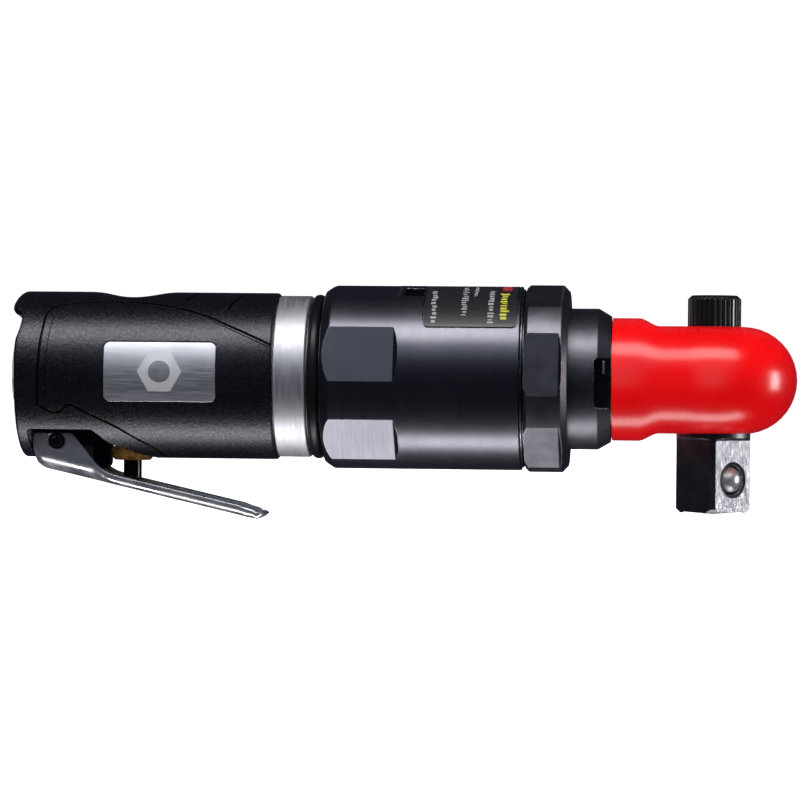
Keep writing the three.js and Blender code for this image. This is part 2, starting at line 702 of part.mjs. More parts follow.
// Turns a shape standing on Z so that it points out of the drive face that holds the ball.
const BALL_HEIGHT = -22.6;
const towardsBall = (shape) =>
  shape.rotateX(Math.PI / 2).rotateZ(Math.PI / 4).translate(0, 0, BALL_HEIGHT);

function retainingBall() {
  const ball = aboutZ(
    Array.from({ length: 9 }, (_, i) => {
      const angle = (i / 8 - 0.5) * Math.PI;
      return [i % 8 === 0 ? 0 : 3.1 * Math.cos(angle), 4.5 + 3.1 * Math.sin(angle)];
    }),
    14,
  );
  piece('retaining_ball', towardsBall(ball), 'chrome');
  piece('ball_spring', towardsBall(coilZ(2.3, 0.3, -1.6, 0.1, 2)), 'steel');
}

function pawls() {
  const steps = 12;
  const outerArc = Array.from({ length: steps + 1 }, (_, i) => {
    const angle = (i / steps - 0.5) * 72 * DEGREE;
    const toothed = Math.abs(i - steps / 2) > 2 && i % 2 === 1;
    const radius = toothed ? 7.8 : 8.3;
    return [radius * Math.cos(angle) - 5.6, radius * Math.sin(angle)];
  });
  const shape = cut(
    prismXY([[-1.7, 2.5], [-1.7, -2.5], [-0.4, -5.0], ...outerArc, [-0.4, 5.0]], -4.2, 4.2),
    rodZ(1.2, -10, 10, 12),
  );
  [0, 1].forEach((turn) => {
    const holder = new THREE.Group();
    holder.rotation.z = turn * Math.PI;
    tool.add(holder);
    const pawl = piece(`pawl_${turn + 1}`, shape, 'steel');
    pawl.position.x = 5.6;
    pawl.rotation.z = PAWL_REST;
    holder.add(pawl);
  });
}

function selector() {
  const ribs = 24;
  const grooved = circle(6.1, ribs).flatMap((crest, i) => [crest, circle(5.75, ribs, Math.PI / ribs)[i]]);
  const envelope = aboutZ([[0, 10.8], [6.2, 10.8], [6.2, 18.5], [5.2, 19.3], [0, 19.3]], 24);
  const dSection = (radius, flat) =>
    circle(radius, 16).map(([x, y]) => [Math.min(x, flat), y]);
  const socket = prismXY(dSection(2.5, 2.0), 0, 17);
  piece('selector_knob', cut(common(prismXY(grooved, 10.8, 19.3), envelope), socket), 'composite');

  const crossHole = rodX(1.2, -5, 5, 12);
  const shaft = join(rodZ(2.2, -4.2, 10), prismXY(dSection(2.2, 1.7), 9, 16.7));
  const turning = new THREE.Group();
  turning.rotation.z = SELECTOR_REST;
  tool.add(turning);
  turning.add(piece('selector_shaft', cut(shaft, crossHole), 'steel'));
  turning.add(piece('pawl_plunger_1', rodX(0.9, 1.2, 3.4, 12), 'steel'));
  turning.add(piece('pawl_plunger_2', rodX(0.9, -3.4, -1.2, 12), 'steel'));
  turning.add(tool.getObjectByName('selector_knob'));
  const spring = piece('plunger_spring', coilZ(0.62, 0.16, -0.9, 0.9, 2), 'steel');
  spring.rotation.y = Math.PI / 2;
  turning.add(spring);
}

// ---------------------------------------------------------------- assembly

handleGrip();
badgePlate();
throttleBody();
throttleParts();
throttleLever();
inletAndExhaust();
motorShell();
endPlates();
rotorAndBlades();
gearTrain();
barrelAndNut();
ratchetHousing();
headBoot();
crankParts();
yoke();
anvil();
retainingBall();
pawls();
selector();

export default tool;
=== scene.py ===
import json
import math
import random

import bmesh
import bpy
import numpy as np
from mathutils import Matrix, Vector


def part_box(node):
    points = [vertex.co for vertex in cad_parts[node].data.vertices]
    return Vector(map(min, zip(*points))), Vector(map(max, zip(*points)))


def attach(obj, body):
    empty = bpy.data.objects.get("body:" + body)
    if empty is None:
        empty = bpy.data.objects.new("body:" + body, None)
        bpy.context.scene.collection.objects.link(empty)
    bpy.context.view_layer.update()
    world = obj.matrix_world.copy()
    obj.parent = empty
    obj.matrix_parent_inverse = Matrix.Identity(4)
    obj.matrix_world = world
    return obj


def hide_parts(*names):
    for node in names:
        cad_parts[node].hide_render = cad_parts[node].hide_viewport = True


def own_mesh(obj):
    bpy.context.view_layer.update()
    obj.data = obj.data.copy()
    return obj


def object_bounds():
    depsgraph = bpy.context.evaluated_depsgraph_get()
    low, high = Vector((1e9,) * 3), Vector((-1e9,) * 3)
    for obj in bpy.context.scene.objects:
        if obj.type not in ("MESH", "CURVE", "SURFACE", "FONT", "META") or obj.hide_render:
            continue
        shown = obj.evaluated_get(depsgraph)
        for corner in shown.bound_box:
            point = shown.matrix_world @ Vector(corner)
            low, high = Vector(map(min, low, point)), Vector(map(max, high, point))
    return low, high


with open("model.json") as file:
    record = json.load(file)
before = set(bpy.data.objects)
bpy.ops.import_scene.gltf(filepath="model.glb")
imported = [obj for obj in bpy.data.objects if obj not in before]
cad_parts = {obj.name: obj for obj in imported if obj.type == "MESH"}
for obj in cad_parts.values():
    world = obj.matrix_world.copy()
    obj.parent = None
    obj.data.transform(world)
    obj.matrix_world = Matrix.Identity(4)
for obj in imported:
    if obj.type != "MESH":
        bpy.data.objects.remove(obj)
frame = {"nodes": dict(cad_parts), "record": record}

# Looks of a pneumatic ratchet wrench. Shapes are drawn in millimetres in tool coordinates:
# x along the tool towards its head, y away from the camera, z up from the tool's axis.
# Angles round the tool are degrees up from the side that faces the camera, which is -y.

CAD_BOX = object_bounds()
MM = 0.001
POLE = 1e-6  # a radius below this many millimetres counts as a point on the axis


# ---------------- places taken from the frame

class Span:
    """A CAD node's box in tool coordinates, in millimetres, its middle, and its radius if round."""

    def __init__(self, node):
        low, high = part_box(node)
        self.x0, self.y0, self.z0 = low.x / MM, low.y / MM, (low.z - AXIS) / MM
        self.x1, self.y1, self.z1 = high.x / MM, high.y / MM, (high.z - AXIS) / MM
        self.x, self.z = (self.x0 + self.x1) / 2, (self.z0 + self.z1) / 2
        self.radius = self.y1


AXIS = sum(corner.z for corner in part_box("gear_barrel")) / 2
GRIP = Span("handle_grip")
BADGE = Span("badge_plate")
CASTING = Span("throttle_body")
GUIDE = Span("valve_bushing")
STEM = Span("throttle_valve")
SPRING = Span("valve_spring")
LEVER = Span("throttle_lever")
PIN = Span("lever_pin")
INLET = Span("inlet_bushing")
DOME = Span("exhaust_deflector")
SLEEVE = Span("motor_housing")
RING = Span("front_o_ring")
BARREL = Span("gear_barrel")
LABEL = Span("rating_label")
NUT = Span("clamp_nut")
NECK = Span("ratchet_housing")
BOOT = Span("head_boot")
KNOB = Span("selector_knob")
ANVIL = Span("drive_anvil")
BALL = Span("retaining_ball")

VALVE_AXIS = (GUIDE.x, 0, 0)
PIVOT = (PIN.x, 0, PIN.z)
BALL_CENTRE = (0, 0, BALL.z)
COLLAR_BACK = GRIP.x1 + 0.3
COLLAR_FRONT = RING.x0 - 0.35
HEAD_HALF_HEIGHT = 12.2
HEAD_ARC = np.linspace(-math.pi / 2, math.pi / 2, 21)  # angles of the head's half-round edge
BADGE_BACK, BADGE_FACE = 18.85, 19.3  # radii of the bent plate
LABEL_BACK, LABEL_FACE = 20.7, 20.98  # radii of the film

DIAGONAL = math.sqrt(0.5)
AXES = {  # along, and the two directions across
    "x": ((1, 0, 0), (0, -1, 0), (0, 0, 1)),
    "y": ((0, 1, 0), (1, 0, 0), (0, 0, 1)),
    "z": ((0, 0, 1), (1, 0, 0), (0, 1, 0)),
    "ball": ((DIAGONAL, -DIAGONAL, 0), (DIAGONAL, DIAGONAL, 0), (0, 0, 1)),
}


# ---------------- shapes: (points, faces)

def rounded(corners, steps=5):
    """A closed outline whose corners (a, b, radius) become arcs; corners (a, b) stay sharp."""
    outline = []
    for i, (a, b, *radius) in enumerate(corners):
        corner = Vector((a, b))
        if not radius:
            outline.append(corner)
            continue
        before = (Vector(corners[i - 1][:2]) - corner).normalized()
        after = (Vector(corners[(i + 1) % len(corners)][:2]) - corner).normalized()
        half = before.angle(after) / 2
        reach = radius[0] / math.tan(half)
        centre = corner + (before + after).normalized() * radius[0] / math.sin(half)
        start = corner + before * reach - centre
        end = corner + after * reach - centre
        sweep = math.pi - 2 * half
        for k in range(steps + 1):
            t = k / steps
            spoke = (math.sin((1 - t) * sweep) * start + math.sin(t * sweep) * end) / math.sin(sweep)
            outline.append(centre + spoke)
    return [tuple(point) for point in outline]


def divided(outline, step):
    """The same closed outline with no stretch longer than step."""
    result = []
    for (a, b), (c, d) in zip(outline, outline[1:] + outline[:1]):
        parts = max(1, math.ceil(math.hypot(c - a, d - b) / step))
        result += [(a + (c - a) * k / parts, b + (d - b) * k / parts) for k in range(parts)]
    return result


def through(points, steps=8):
    """A smooth curve through points, as a Catmull-Rom spline."""
    ends = [points[0], *points, points[-1]]
    curve = []
    for p0, p1, p2, p3 in zip(ends, ends[1:], ends[2:], ends[3:]):
        p0, p1, p2, p3 = map(np.array, (p0, p1, p2, p3))
        for t in np.arange(steps) / steps:
            bend = 2 * p0 - 5 * p1 + 4 * p2 - p3
            twist = 3 * p1 - p0 - 3 * p2 + p3
            curve.append(0.5 * (2 * p1 + (p2 - p0) * t + bend * t**2 + twist * t**3))
    return curve + [np.array(points[-1])]


def circle(count):
    """Evenly spaced angles of a full turn, in radians."""
    return np.linspace(0, 2 * math.pi, count, endpoint=False)


def turned(profile, axis="x", origin=(0, 0, 0), segments=160):
    """A profile of (along, radius) turned about an axis, closed unless its ends have radius 0."""
    along, across, up = (np.array(v, float) for v in AXES[axis])
    points, rings = [], []
    for reach, radius in profile:
        centre = np.array(origin, float) + along * reach
        if radius < POLE:
            rings.append([len(points)] * segments)
            points.append(centre)
            continue
        rings.append(list(range(len(points), len(points) + segments)))
        for a in circle(segments):
            points.append(centre + radius * (across * math.cos(a) + up * math.sin(a)))
    has_poles = profile[0][1] < POLE
    pairs = zip(rings, rings[1:] if has_poles else rings[1:] + rings[:1])
    return np.array(points), faces_between(pairs, segments)


def rod(radius, low, high, axis="x", origin=(0, 0, 0), segments=96):
    """A round bar between two places on an axis."""
    return turned([(low, 0), (low, radius), (high, radius), (high, 0)], axis, origin, segments)


def faces_between(pairs, count):
    """Quads between pairs of closed rings; corners that fall together make them triangles."""
    faces = []
    for low, high in pairs:
        for k in range(count):
            after = (k + 1) % count
            face = tuple(dict.fromkeys((low[k], low[after], high[after], high[k])))
            if len(face) > 2:
                faces.append(face)
    return faces


def loft(rings, closed=False, far_cap=True):
    """A skin over rings of points, with no caps if it's closed, or one if its far ring is flat."""
    count = len(rings[0])
    points = np.array([point for ring in rings for point in ring], float)
    index = [list(range(k * count, (k + 1) * count)) for k in range(len(rings))]
    faces = faces_between(zip(index, index[1:] + index[:1] if closed else index[1:]), count)
    if not closed:
        faces.append(tuple(index[0]))
        if far_cap:
            faces.append(tuple(reversed(index[-1])))
    return points, faces


def prism(outline, axis, low, high):
    """An outline in the two directions across an axis, extruded along it."""
    along, across, up = (np.array(v, float) for v in AXES[axis])
    flat = [across * a + up * b for a, b in outline]
    return loft([[point + along * low for point in flat], [point + along * high for point in flat]])


def block(x, y, z, radius=0.3):
    """A block with rounded edges along y, from pairs of limits."""
    corners = [(x[0], z[0], radius), (x[1], z[0], radius), (x[1], z[1], radius), (x[0], z[1], radius)]
    return prism(rounded(corners), "y", *y)


def together(shapes):
    """Several shapes as one."""
    points, faces = [], []
    for more_points, more_faces in shapes:
        faces += [tuple(k + len(points) for k in face) for face in more_faces]
        points += list(more_points)
    return np.array(points), faces


def spun(shape, degrees, axis="X"):
    """A shape turned about the tool's axis, or about another axis through the origin."""
    turn = np.array(Matrix.Rotation(math.radians(degrees), 3, axis))
    return shape[0] @ turn.T, shape[1]


def on_tool(x, degrees, radius):
    """The point at a place along the tool, an angle round it and a radius from its axis."""
    angle = math.radians(degrees)
    return np.array((x, -radius * math.cos(angle), radius * math.sin(angle)))


def wrapped_plate(x0, x1, low, high, corner, inner, outer):
    """A thin plate with round corners, bent round the tool between two angles."""
    step = 0.8
    width = math.radians(high - low) * outer
    rising = [corner * (1 - math.cos(turn)) for turn in np.linspace(0, math.pi / 2, 6)]
    straight = np.linspace(corner, width - corner, max(3, int(width / step)))[1:-1]
    rings = []
    for place in (*rising, *straight, *(width - place for place in reversed(rising))):
        edge = min(corner, place, width - place)
        inset = corner - math.sqrt(max(0.0, corner**2 - (corner - edge) ** 2))
        angle = low + math.degrees(place / outer)
        back, front = x0 + inset, x1 - inset
        rings.append([
            on_tool(back, angle, inner), on_tool(back, angle, outer),
            on_tool(front, angle, outer), on_tool(front, angle, inner),
        ])
    return loft(rings)


def groove(route, width, depth, radius, mirrored=False):
    """A cutter along a route of (x, degrees) that scores a round surface, or its far side."""
    side = np.array((1, -1 if mirrored else 1, 1))
    centres = [on_tool(x, degrees, radius) for x, degrees in through(route)]
    rings = []
    for i, centre in enumerate(centres):
        ahead = centres[min(i + 1, len(centres) - 1)] - centres[max(i - 1, 0)]
        outward = np.array((0, centre[1], centre[2])) / math.hypot(centre[1], centre[2])
        sideways = np.cross(ahead / np.linalg.norm(ahead), outward)
        rings.append([
            (centre + depth * math.cos(a) * outward + width / 2 * math.sin(a) * sideways) * side
            for a in circle(10)
        ])
    return loft(rings)


# ---------------- objects

def solid(name, shape):
    """A Blender object of a shape, in the frame's metres, with its faces pointing out."""
    points, faces = shape
    mesh = bpy.data.meshes.new(name)
    mesh.from_pydata([(x * MM, y * MM, z * MM + AXIS) for x, y, z in points], [], faces)
    made = bmesh.new()
    made.from_mesh(mesh)
    bmesh.ops.remove_doubles(made, verts=made.verts, dist=1e-7)
    bmesh.ops.recalc_face_normals(made, faces=made.faces)
    made.to_mesh(mesh)
    made.free()
    obj = bpy.data.objects.new(name, mesh)
    bpy.context.scene.collection.objects.link(obj)
    return obj


def settle(obj):
    """Applies an object's modifiers."""
    bpy.context.view_layer.update()
    evaluated = obj.evaluated_get(bpy.context.evaluated_depsgraph_get())
    mesh = bpy.data.meshes.new_from_object(evaluated)
    mesh.materials.clear()
    obj.modifiers.clear()
    obj.data = mesh


def combine(obj, operation, shapes):
    """Joins shapes to an object, or cuts them from it."""
    for shape in shapes:
        tool = solid("tool", shape)
        change = obj.modifiers.new("combine", "BOOLEAN")
        change.operation = operation
        change.solver = "MANIFOLD"
        change.object = tool
        settle(obj)
        bpy.data.objects.remove(tool)
    return obj


def carved(name, shape, *tools):
    """An object of a shape with others cut from it."""
    return combine(solid(name, shape), "DIFFERENCE", tools)


def paint_faces(obj, material, special, chosen):
    """Gives an object a material, and the faces that chosen(centre, normal) picks a special one."""
    obj.data.materials.append(material)
    obj.data.materials.append(special)
    for face in obj.data.polygons:
        if chosen(face.center / MM - Vector((0, 0, AXIS / MM)), face.normal):
            face.material_index = 1


def show(obj, slot, *nodes, body="housing", finish=None, sharp=25):
    """Gives a finished piece its shading, material and place in the frame."""
    obj.data.shade_smooth()
    obj.data.set_sharp_from_angle(angle=math.radians(sharp))
    if not obj.data.materials:
        obj.data.materials.append(finish or FINISH[slot])
    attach(obj, body)
    if nodes:
        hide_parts(*nodes)


# ---------------- materials

class Paint:
    """A material with one Principled shader, and short names for the nodes that feed it."""

    def __init__(self, name, color, roughness=0.5, metallic=0.0, **sockets):
        self.material = bpy.data.materials.new(name)
        self.material.use_nodes = True
        self.tree = self.material.node_tree
        self.shader = self.tree.nodes["Principled BSDF"]
        self.set(Base_Color=color, Roughness=roughness, Metallic=metallic, **sockets)
        self.place = self.node("ShaderNodeTexCoord").outputs["Object"]

    def node(self, kind, inputs=None, **settings):
        """A new node with some of its settings and inputs given."""
        made = self.tree.nodes.new(kind)
        for key, value in settings.items():
            setattr(made, key, value)
        for key, value in (inputs or {}).items():
            self.feed(made.inputs[key], value)
        return made

    def feed(self, socket, value):
        """Gives a socket a value, a colour or another node's output."""
        if isinstance(value, bpy.types.NodeSocket):
            self.tree.links.new(value, socket)
        elif isinstance(value, tuple) and len(value) == 3 and socket.type == "RGBA":
            socket.default_value = (*value, 1)
        else:
            socket.default_value = value

    def set(self, **sockets):
        """Feeds the shader's sockets."""
        for name, value in sockets.items():
            self.feed(self.shader.inputs[name.replace("_", " ")], value)

    def stretched(self, x, y, z):
        """Object coordinates multiplied along each axis, for streaks."""
        inputs = {"Vector": self.place, "Scale": (x, y, z)}
        return self.node("ShaderNodeMapping", inputs).outputs[0]

    def noise(self, size, detail, where=None, roughness=0.5):
        """Noise whose features are about size millimetres."""
        inputs = {
            "Vector": where or self.place, "Scale": 1 / (size * MM),
            "Detail": detail, "Roughness": roughness,
        }
        return self.node("ShaderNodeTexNoise", inputs).outputs["Fac"]

    def between(self, value, low, high, to_low=0.0, to_high=1.0):
        """A value eased from one range to another."""
        inputs = {"Value": value, "From Min": low, "From Max": high, "To Min": to_low, "To Max": to_high}
        return self.node("ShaderNodeMapRange", inputs, interpolation_type="SMOOTHSTEP").outputs[0]

    def times(self, a, b):
        """Two values multiplied."""
        return self.node("ShaderNodeMath", {0: a, 1: b}, operation="MULTIPLY").outputs[0]

    def plus(self, a, b):
        """Two values added."""
        return self.node("ShaderNodeMath", {0: a, 1: b}, operation="ADD").outputs[0]

    def mix(self, amount, a, b):
        """A colour that goes from a to b as an amount goes from 0 to 1."""
        inputs = {"Factor": amount, "A": a, "B": b}
        return self.node("ShaderNodeMix", inputs, data_type="RGBA").outputs["Result"]

    def blend(self, value, low, high, a, b):
        """A colour that goes from a to b as a value goes through a range."""
        return self.mix(self.between(value, low, high), a, b)

    def polish(self, value, smooth, rough, low=0.3, high=0.7):
        """Roughness that goes from smooth to rough as a value goes through a range."""
        self.set(Roughness=self.between(value, low, high, smooth, rough))

    def bevel(self, radius):
        """The surface's direction with edges rounded by a radius in millimetres."""
        return self.node("ShaderNodeBevel", {"Radius": radius * MM}, samples=6).outputs[0]

    def edges(self, radius):
        """1 near edges, within a radius in millimetres, and 0 on flat faces."""
        normal = self.node("ShaderNodeNewGeometry").outputs["Normal"]
        inputs = {0: self.bevel(radius), 1: normal}
        likeness = self.node("ShaderNodeVectorMath", inputs, operation="DOT_PRODUCT").outputs["Value"]
        return self.between(likeness, 0.995, 0.93)

    def relief(self, height, depth, rounding=0.0):
        """Bump of a depth in millimetres, over edges rounded by a radius in millimetres."""
        inputs = {"Height": height, "Distance": depth * MM}
        if rounding:
            inputs["Normal"] = self.bevel(rounding)
        self.set(Normal=self.node("ShaderNodeBump", inputs).outputs[0])


def shade(color, share):
    """A colour made darker, or lighter where the share is above 1."""
    return tuple(channel * share for channel in color)


def composite():
    """Charcoal moulded plastic with a fine grain, and lighter specks painted into its colour as glints.
    """
    paint = Paint(
        "composite_grip", (0.005, 0.005, 0.006),
        Specular_IOR_Level=0.52, Specular_Tint=(0.92, 0.89, 1.0),
    )
    grain = paint.noise(0.6, 3, roughness=0.7)
    patches = paint.noise(9, 3)
    glint_speck_mask = paint.between(paint.noise(0.45, 2), 0.58, 0.72)
    base = paint.blend(patches, 0.3, 0.7, (0.0016, 0.0015, 0.0022), (0.003, 0.0028, 0.004))
    painted_glints = paint.times(glint_speck_mask, 0.3)
    # Lighter specks are painted into the base colour as painted glints of light on the grain.
    paint.set(Base_Color=paint.mix(painted_glints, base, (0.02, 0.017, 0.023)))
    paint.polish(grain, 0.24, 0.36, 0.35, 0.65)
    paint.relief(grain, 0.07, 0.08)
    return paint.material


def turned_alloy():
    """Aluminium turned about the tool's axis: fine rings and soft stains."""
    color = (0.60, 0.60, 0.63)
    paint = Paint("turned_alloy", color, metallic=1.0)
    rings = paint.noise(0.25, 4, paint.stretched(1, 0.03, 0.03), 0.7)
    stains = paint.noise(6, 4)
    amount = paint.times(rings, paint.between(stains, 0.3, 0.7, 0.5, 1.2))
    paint.set(Base_Color=paint.mix(amount, color, shade(color, 0.88)))
    paint.polish(rings, 0.40, 0.625, 0.25, 0.75)
    paint.relief(rings, 0.004, 0.12)
    return paint.material


def blued_barrel():
    """Blue-black anodised barrel with soft gloss, faint turning rings and scuffed edges."""
    paint = Paint("blued_barrel", (0.10, 0.10, 0.12), metallic=1.0)
    rings = paint.noise(0.18, 3, paint.stretched(1, 0.02, 0.02), 0.6)
    clouds = paint.noise(14, 3)
    worn = paint.times(paint.edges(0.4), paint.between(paint.noise(1.4, 3), 0.47, 0.62))
    base = paint.blend(clouds, 0.3, 0.7, (0.108, 0.108, 0.126), (0.128, 0.127, 0.147))
    paint.set(Base_Color=paint.mix(worn, base, (0.38, 0.38, 0.41)))
    paint.polish(rings, 0.27, 0.36, 0.2, 0.8)
    paint.relief(rings, 0.0025, 0.25)
    return paint.material


def black_steel(name, color, roughness, wear):
    """Blackened steel with a blasted grain, its edges chipped to bright metal."""
    paint = Paint(name, color, metallic=1.0)
    grain = paint.noise(0.16, 3, roughness=0.7)
    clouds = paint.noise(5, 3)
    chips = paint.between(paint.noise(0.55, 4, roughness=0.65), 0.50, 0.62)
    worn = paint.times(paint.edges(0.45), paint.times(chips, wear))
    base = paint.blend(clouds, 0.25, 0.75, color, shade(color, 1.5))
    paint.set(Base_Color=paint.mix(worn, base, (0.62, 0.62, 0.65)))
    paint.polish(grain, roughness * 0.85, roughness * 1.2)
    paint.relief(grain, 0.014, 0.2)
    return paint.material


def ground_steel():
    """Ground steel with coarse and fine scratches, darker in its low spots."""
    paint = Paint("ground_steel", (0.55, 0.54, 0.60), metallic=1.0)
    strokes = [paint.noise(0.7, 5, paint.stretched(fine, fine, 0.35), 0.75) for fine in (0.5, 1.6)]
    blotches = paint.between(paint.noise(2.2, 4, paint.stretched(1, 1, 0.5), 0.7), 0.38, 0.62)
    scratch = paint.between(paint.times(*strokes), 0.17, 0.33)
    base = paint.mix(blotches, (0.04, 0.04, 0.05), (0.17, 0.17, 0.19))
    paint.set(Base_Color=paint.mix(scratch, base, (0.45, 0.45, 0.48)))
    paint.polish(strokes[0], 0.28, 0.5)
    paint.relief(scratch, 0.03, 0.2)
    return paint.material


def brushed_plate():
    """Satin plate brushed along the tool."""
    paint = Paint("badge_plate_finish", (0.60, 0.61, 0.64), metallic=1.0)
    hairs = paint.noise(0.22, 4, paint.stretched(0.04, 1, 1), 0.7)
    haze = paint.between(paint.noise(7, 2), 0.35, 0.65, 0, 0.35)
    base = paint.mix(hairs, (0.50, 0.51, 0.54), (0.74, 0.75, 0.78))
    paint.set(Base_Color=paint.mix(haze, base, (0.80, 0.80, 0.83)))
    paint.polish(hairs, 0.40, 0.55)
    paint.relief(hairs, 0.004, 0.15)
    return paint.material


def frosted_emblem():
    """Pale frosted mark on the badge."""
    paint = Paint("badge_emblem_finish", (0.70, 0.70, 0.72), metallic=0.75)
    grain = paint.noise(0.12, 2)
    paint.set(Base_Color=paint.mix(grain, (0.70, 0.70, 0.72), (0.82, 0.82, 0.84)))
    paint.polish(grain, 0.45, 0.6)
    paint.relief(grain, 0.003, 0.05)
    return paint.material


def chrome(name, roughness=0.20, color=(0.83, 0.84, 0.86), stain=0.85):
    """Bright plating with faint polishing haze and hairline scuffs."""
    paint = Paint(name, color, metallic=0.92)
    haze = paint.noise(5, 4)
    scuffs = paint.between(paint.noise(0.5, 5, paint.stretched(0.12, 1, 1), 0.75), 0.55, 0.72)
    paint.set(Base_Color=paint.blend(haze, 0.38, 0.62, color, shade(color, stain)))
    smear = paint.between(haze, 0.3, 0.75, roughness * 0.7, roughness * 2.0)
    paint.set(Roughness=paint.plus(smear, paint.times(scuffs, 0.12)))
    paint.relief(scuffs, 0.0015, 0.15)
    return paint.material


def aged_brass():
    """Brass with brown tarnish in patches."""
    paint = Paint("aged_brass", (0.60, 0.38, 0.12), metallic=0.7)
    patches = paint.noise(1.6, 4, roughness=0.65)
    turning = paint.noise(0.3, 3, paint.stretched(0.1, 0.1, 1))
    paint.set(Base_Color=paint.blend(patches, 0.35, 0.65, (0.95, 0.52, 0.12), (0.40, 0.18, 0.05)))
    paint.polish(patches, 0.26, 0.48)
    paint.relief(turning, 0.005, 0.15)
    return paint.material


def rubber(name, low, high, roughness, **sockets):
    """Moulded rubber: a soft skin with slight waves and dust-fine grain."""
    paint = Paint(name, high, roughness, **sockets)
    waves = paint.noise(16, 2)
    grain = paint.noise(0.22, 3, roughness=0.6)
    paint.set(Base_Color=paint.blend(waves, 0.3, 0.7, low, high))
    paint.polish(grain, roughness * 0.88, roughness * 1.12)
    paint.relief(paint.plus(paint.times(waves, 4.0), grain), 0.006, 0.35)
    return paint.material


def printed(name, color):
    """Printed label film: flat ink with a faint mottle and screen texture."""
    paint = Paint(name, color, Coat_Weight=0.15)
    mottle = paint.noise(1.2, 4)
    screen = paint.noise(0.12, 1)
    paint.set(Base_Color=paint.blend(mottle, 0.35, 0.65, shade(color, 0.8), color))
    paint.polish(screen, 0.323, 0.456)
    paint.relief(screen, 0.002)
    return paint.material


def machined_steel(name, color, roughness):
    """Plain machined steel of the inner parts: fine grain and an oil-dark mottle."""
    paint = Paint(name, color, metallic=1.0)
    mottle = paint.noise(3, 4)
    grain = paint.noise(0.2, 3, paint.stretched(1, 0.2, 0.2), 0.65)
    paint.set(Base_Color=paint.blend(mottle, 0.35, 0.7, color, shade(color, 0.7)))
    paint.polish(grain, roughness * 0.8, roughness * 1.3)
    paint.relief(grain, 0.004, 0.15)
    return paint.material


def woven_resin():
    """Brown phenolic cloth of the motor blades."""
    paint = Paint("woven_resin", (0.30, 0.19, 0.10), 0.6)
    warp = paint.noise(0.3, 2, paint.stretched(0.15, 1, 1))
    weft = paint.noise(0.3, 2, paint.stretched(1, 0.15, 0.15))
    weave = paint.times(warp, weft)
    paint.set(Base_Color=paint.blend(weave, 0.15, 0.4, (0.20, 0.12, 0.06), (0.40, 0.27, 0.15)))
    paint.relief(weave, 0.02)
    return paint.material


FINISH = {
    "grip_composite": composite(),
    "badge_metal": brushed_plate(),
    "throttle_casting": black_steel("casting_black", (0.030, 0.030, 0.034), 0.34, 0.3),
    "brass": aged_brass(),
    "chrome_sheet": chrome("chrome_sheet", 0.24, (0.90, 0.91, 0.93), stain=0.74),
    "black_steel": black_steel("blackened_steel", (0.090, 0.090, 0.102), 0.38, 1.0),
    "blue_black_steel": blued_barrel(),
    "housing_alloy": turned_alloy(),
    "machined_steel": machined_steel("machined_steel", (0.48, 0.48, 0.51), 0.34),
    "bearing_steel": machined_steel("bearing_steel", (0.62, 0.62, 0.64), 0.16),
    "black_rubber": rubber(
        "black_rubber", (0.003, 0.003, 0.004), (0.005, 0.005, 0.006), 0.34, Specular_IOR_Level=0.3,
    ),
    "red_rubber": rubber(
        "red_rubber", (0.80, 0.002, 0.003), (0.90, 0.003, 0.004), 0.25,
        Specular_IOR_Level=0.48, Subsurface_Weight=0.06, Subsurface_Scale=0.002,
    ),
    "label_film": printed("label_film", (0.012, 0.012, 0.014)),
    "blade_composite": woven_resin(),
    "knob_plastic": rubber("knob_plastic", (0.006, 0.006, 0.007), (0.010, 0.010, 0.011), 0.22),
}


# ---------------- handle

def rim_reach(degrees):
    """How far the sleeve's rim is cut back, at angles in degrees; its far side is a mirror image."""
    height = np.degrees(np.arcsin(np.sin(np.radians(degrees))))
    angles = (-90, -60, -20, 20, 25, 30, 34, 38, 42, 45, 48, 51, 54, 58, 63, 67, 75, 90)
    reach = (
        0, 0, 0.15, 0.1, 0.2, 0.6, 0.95, 1.15, 1.15, 0.95, 0.3, -0.7, -1.3, -1.4, -1.2, -1.1, -0.7, 0,
    )
    return np.interp(height, angles, reach)


def dipped(points):
    """Presses a thumb dip into the top of the sleeve, and shapes its back rim."""
    dip_x, dip_radius, dip_depth, dip_half_length, softness = -133, 21, 1.2, 12, 0.35
    rim_length = 7
    x, y, z = points.T
    degrees = np.degrees(np.arctan2(z, -y))
    fade = np.clip((x - GRIP.x0) / rim_length, 0, 1)
    x = x + rim_reach(degrees) * (1 - fade) ** 2
    limit = GRIP.radius - dip_depth + (x - dip_x) ** 2 / (2 * dip_radius)
    outside = np.hypot(y, z) > GRIP.radius - 1
    lowered = z - softness * np.logaddexp(0, (z - limit) / softness)
    z = np.where(outside & (z > 0) & (np.abs(x - dip_x) < dip_half_length), lowered, z)
    return np.stack((x, y, z), axis=1)


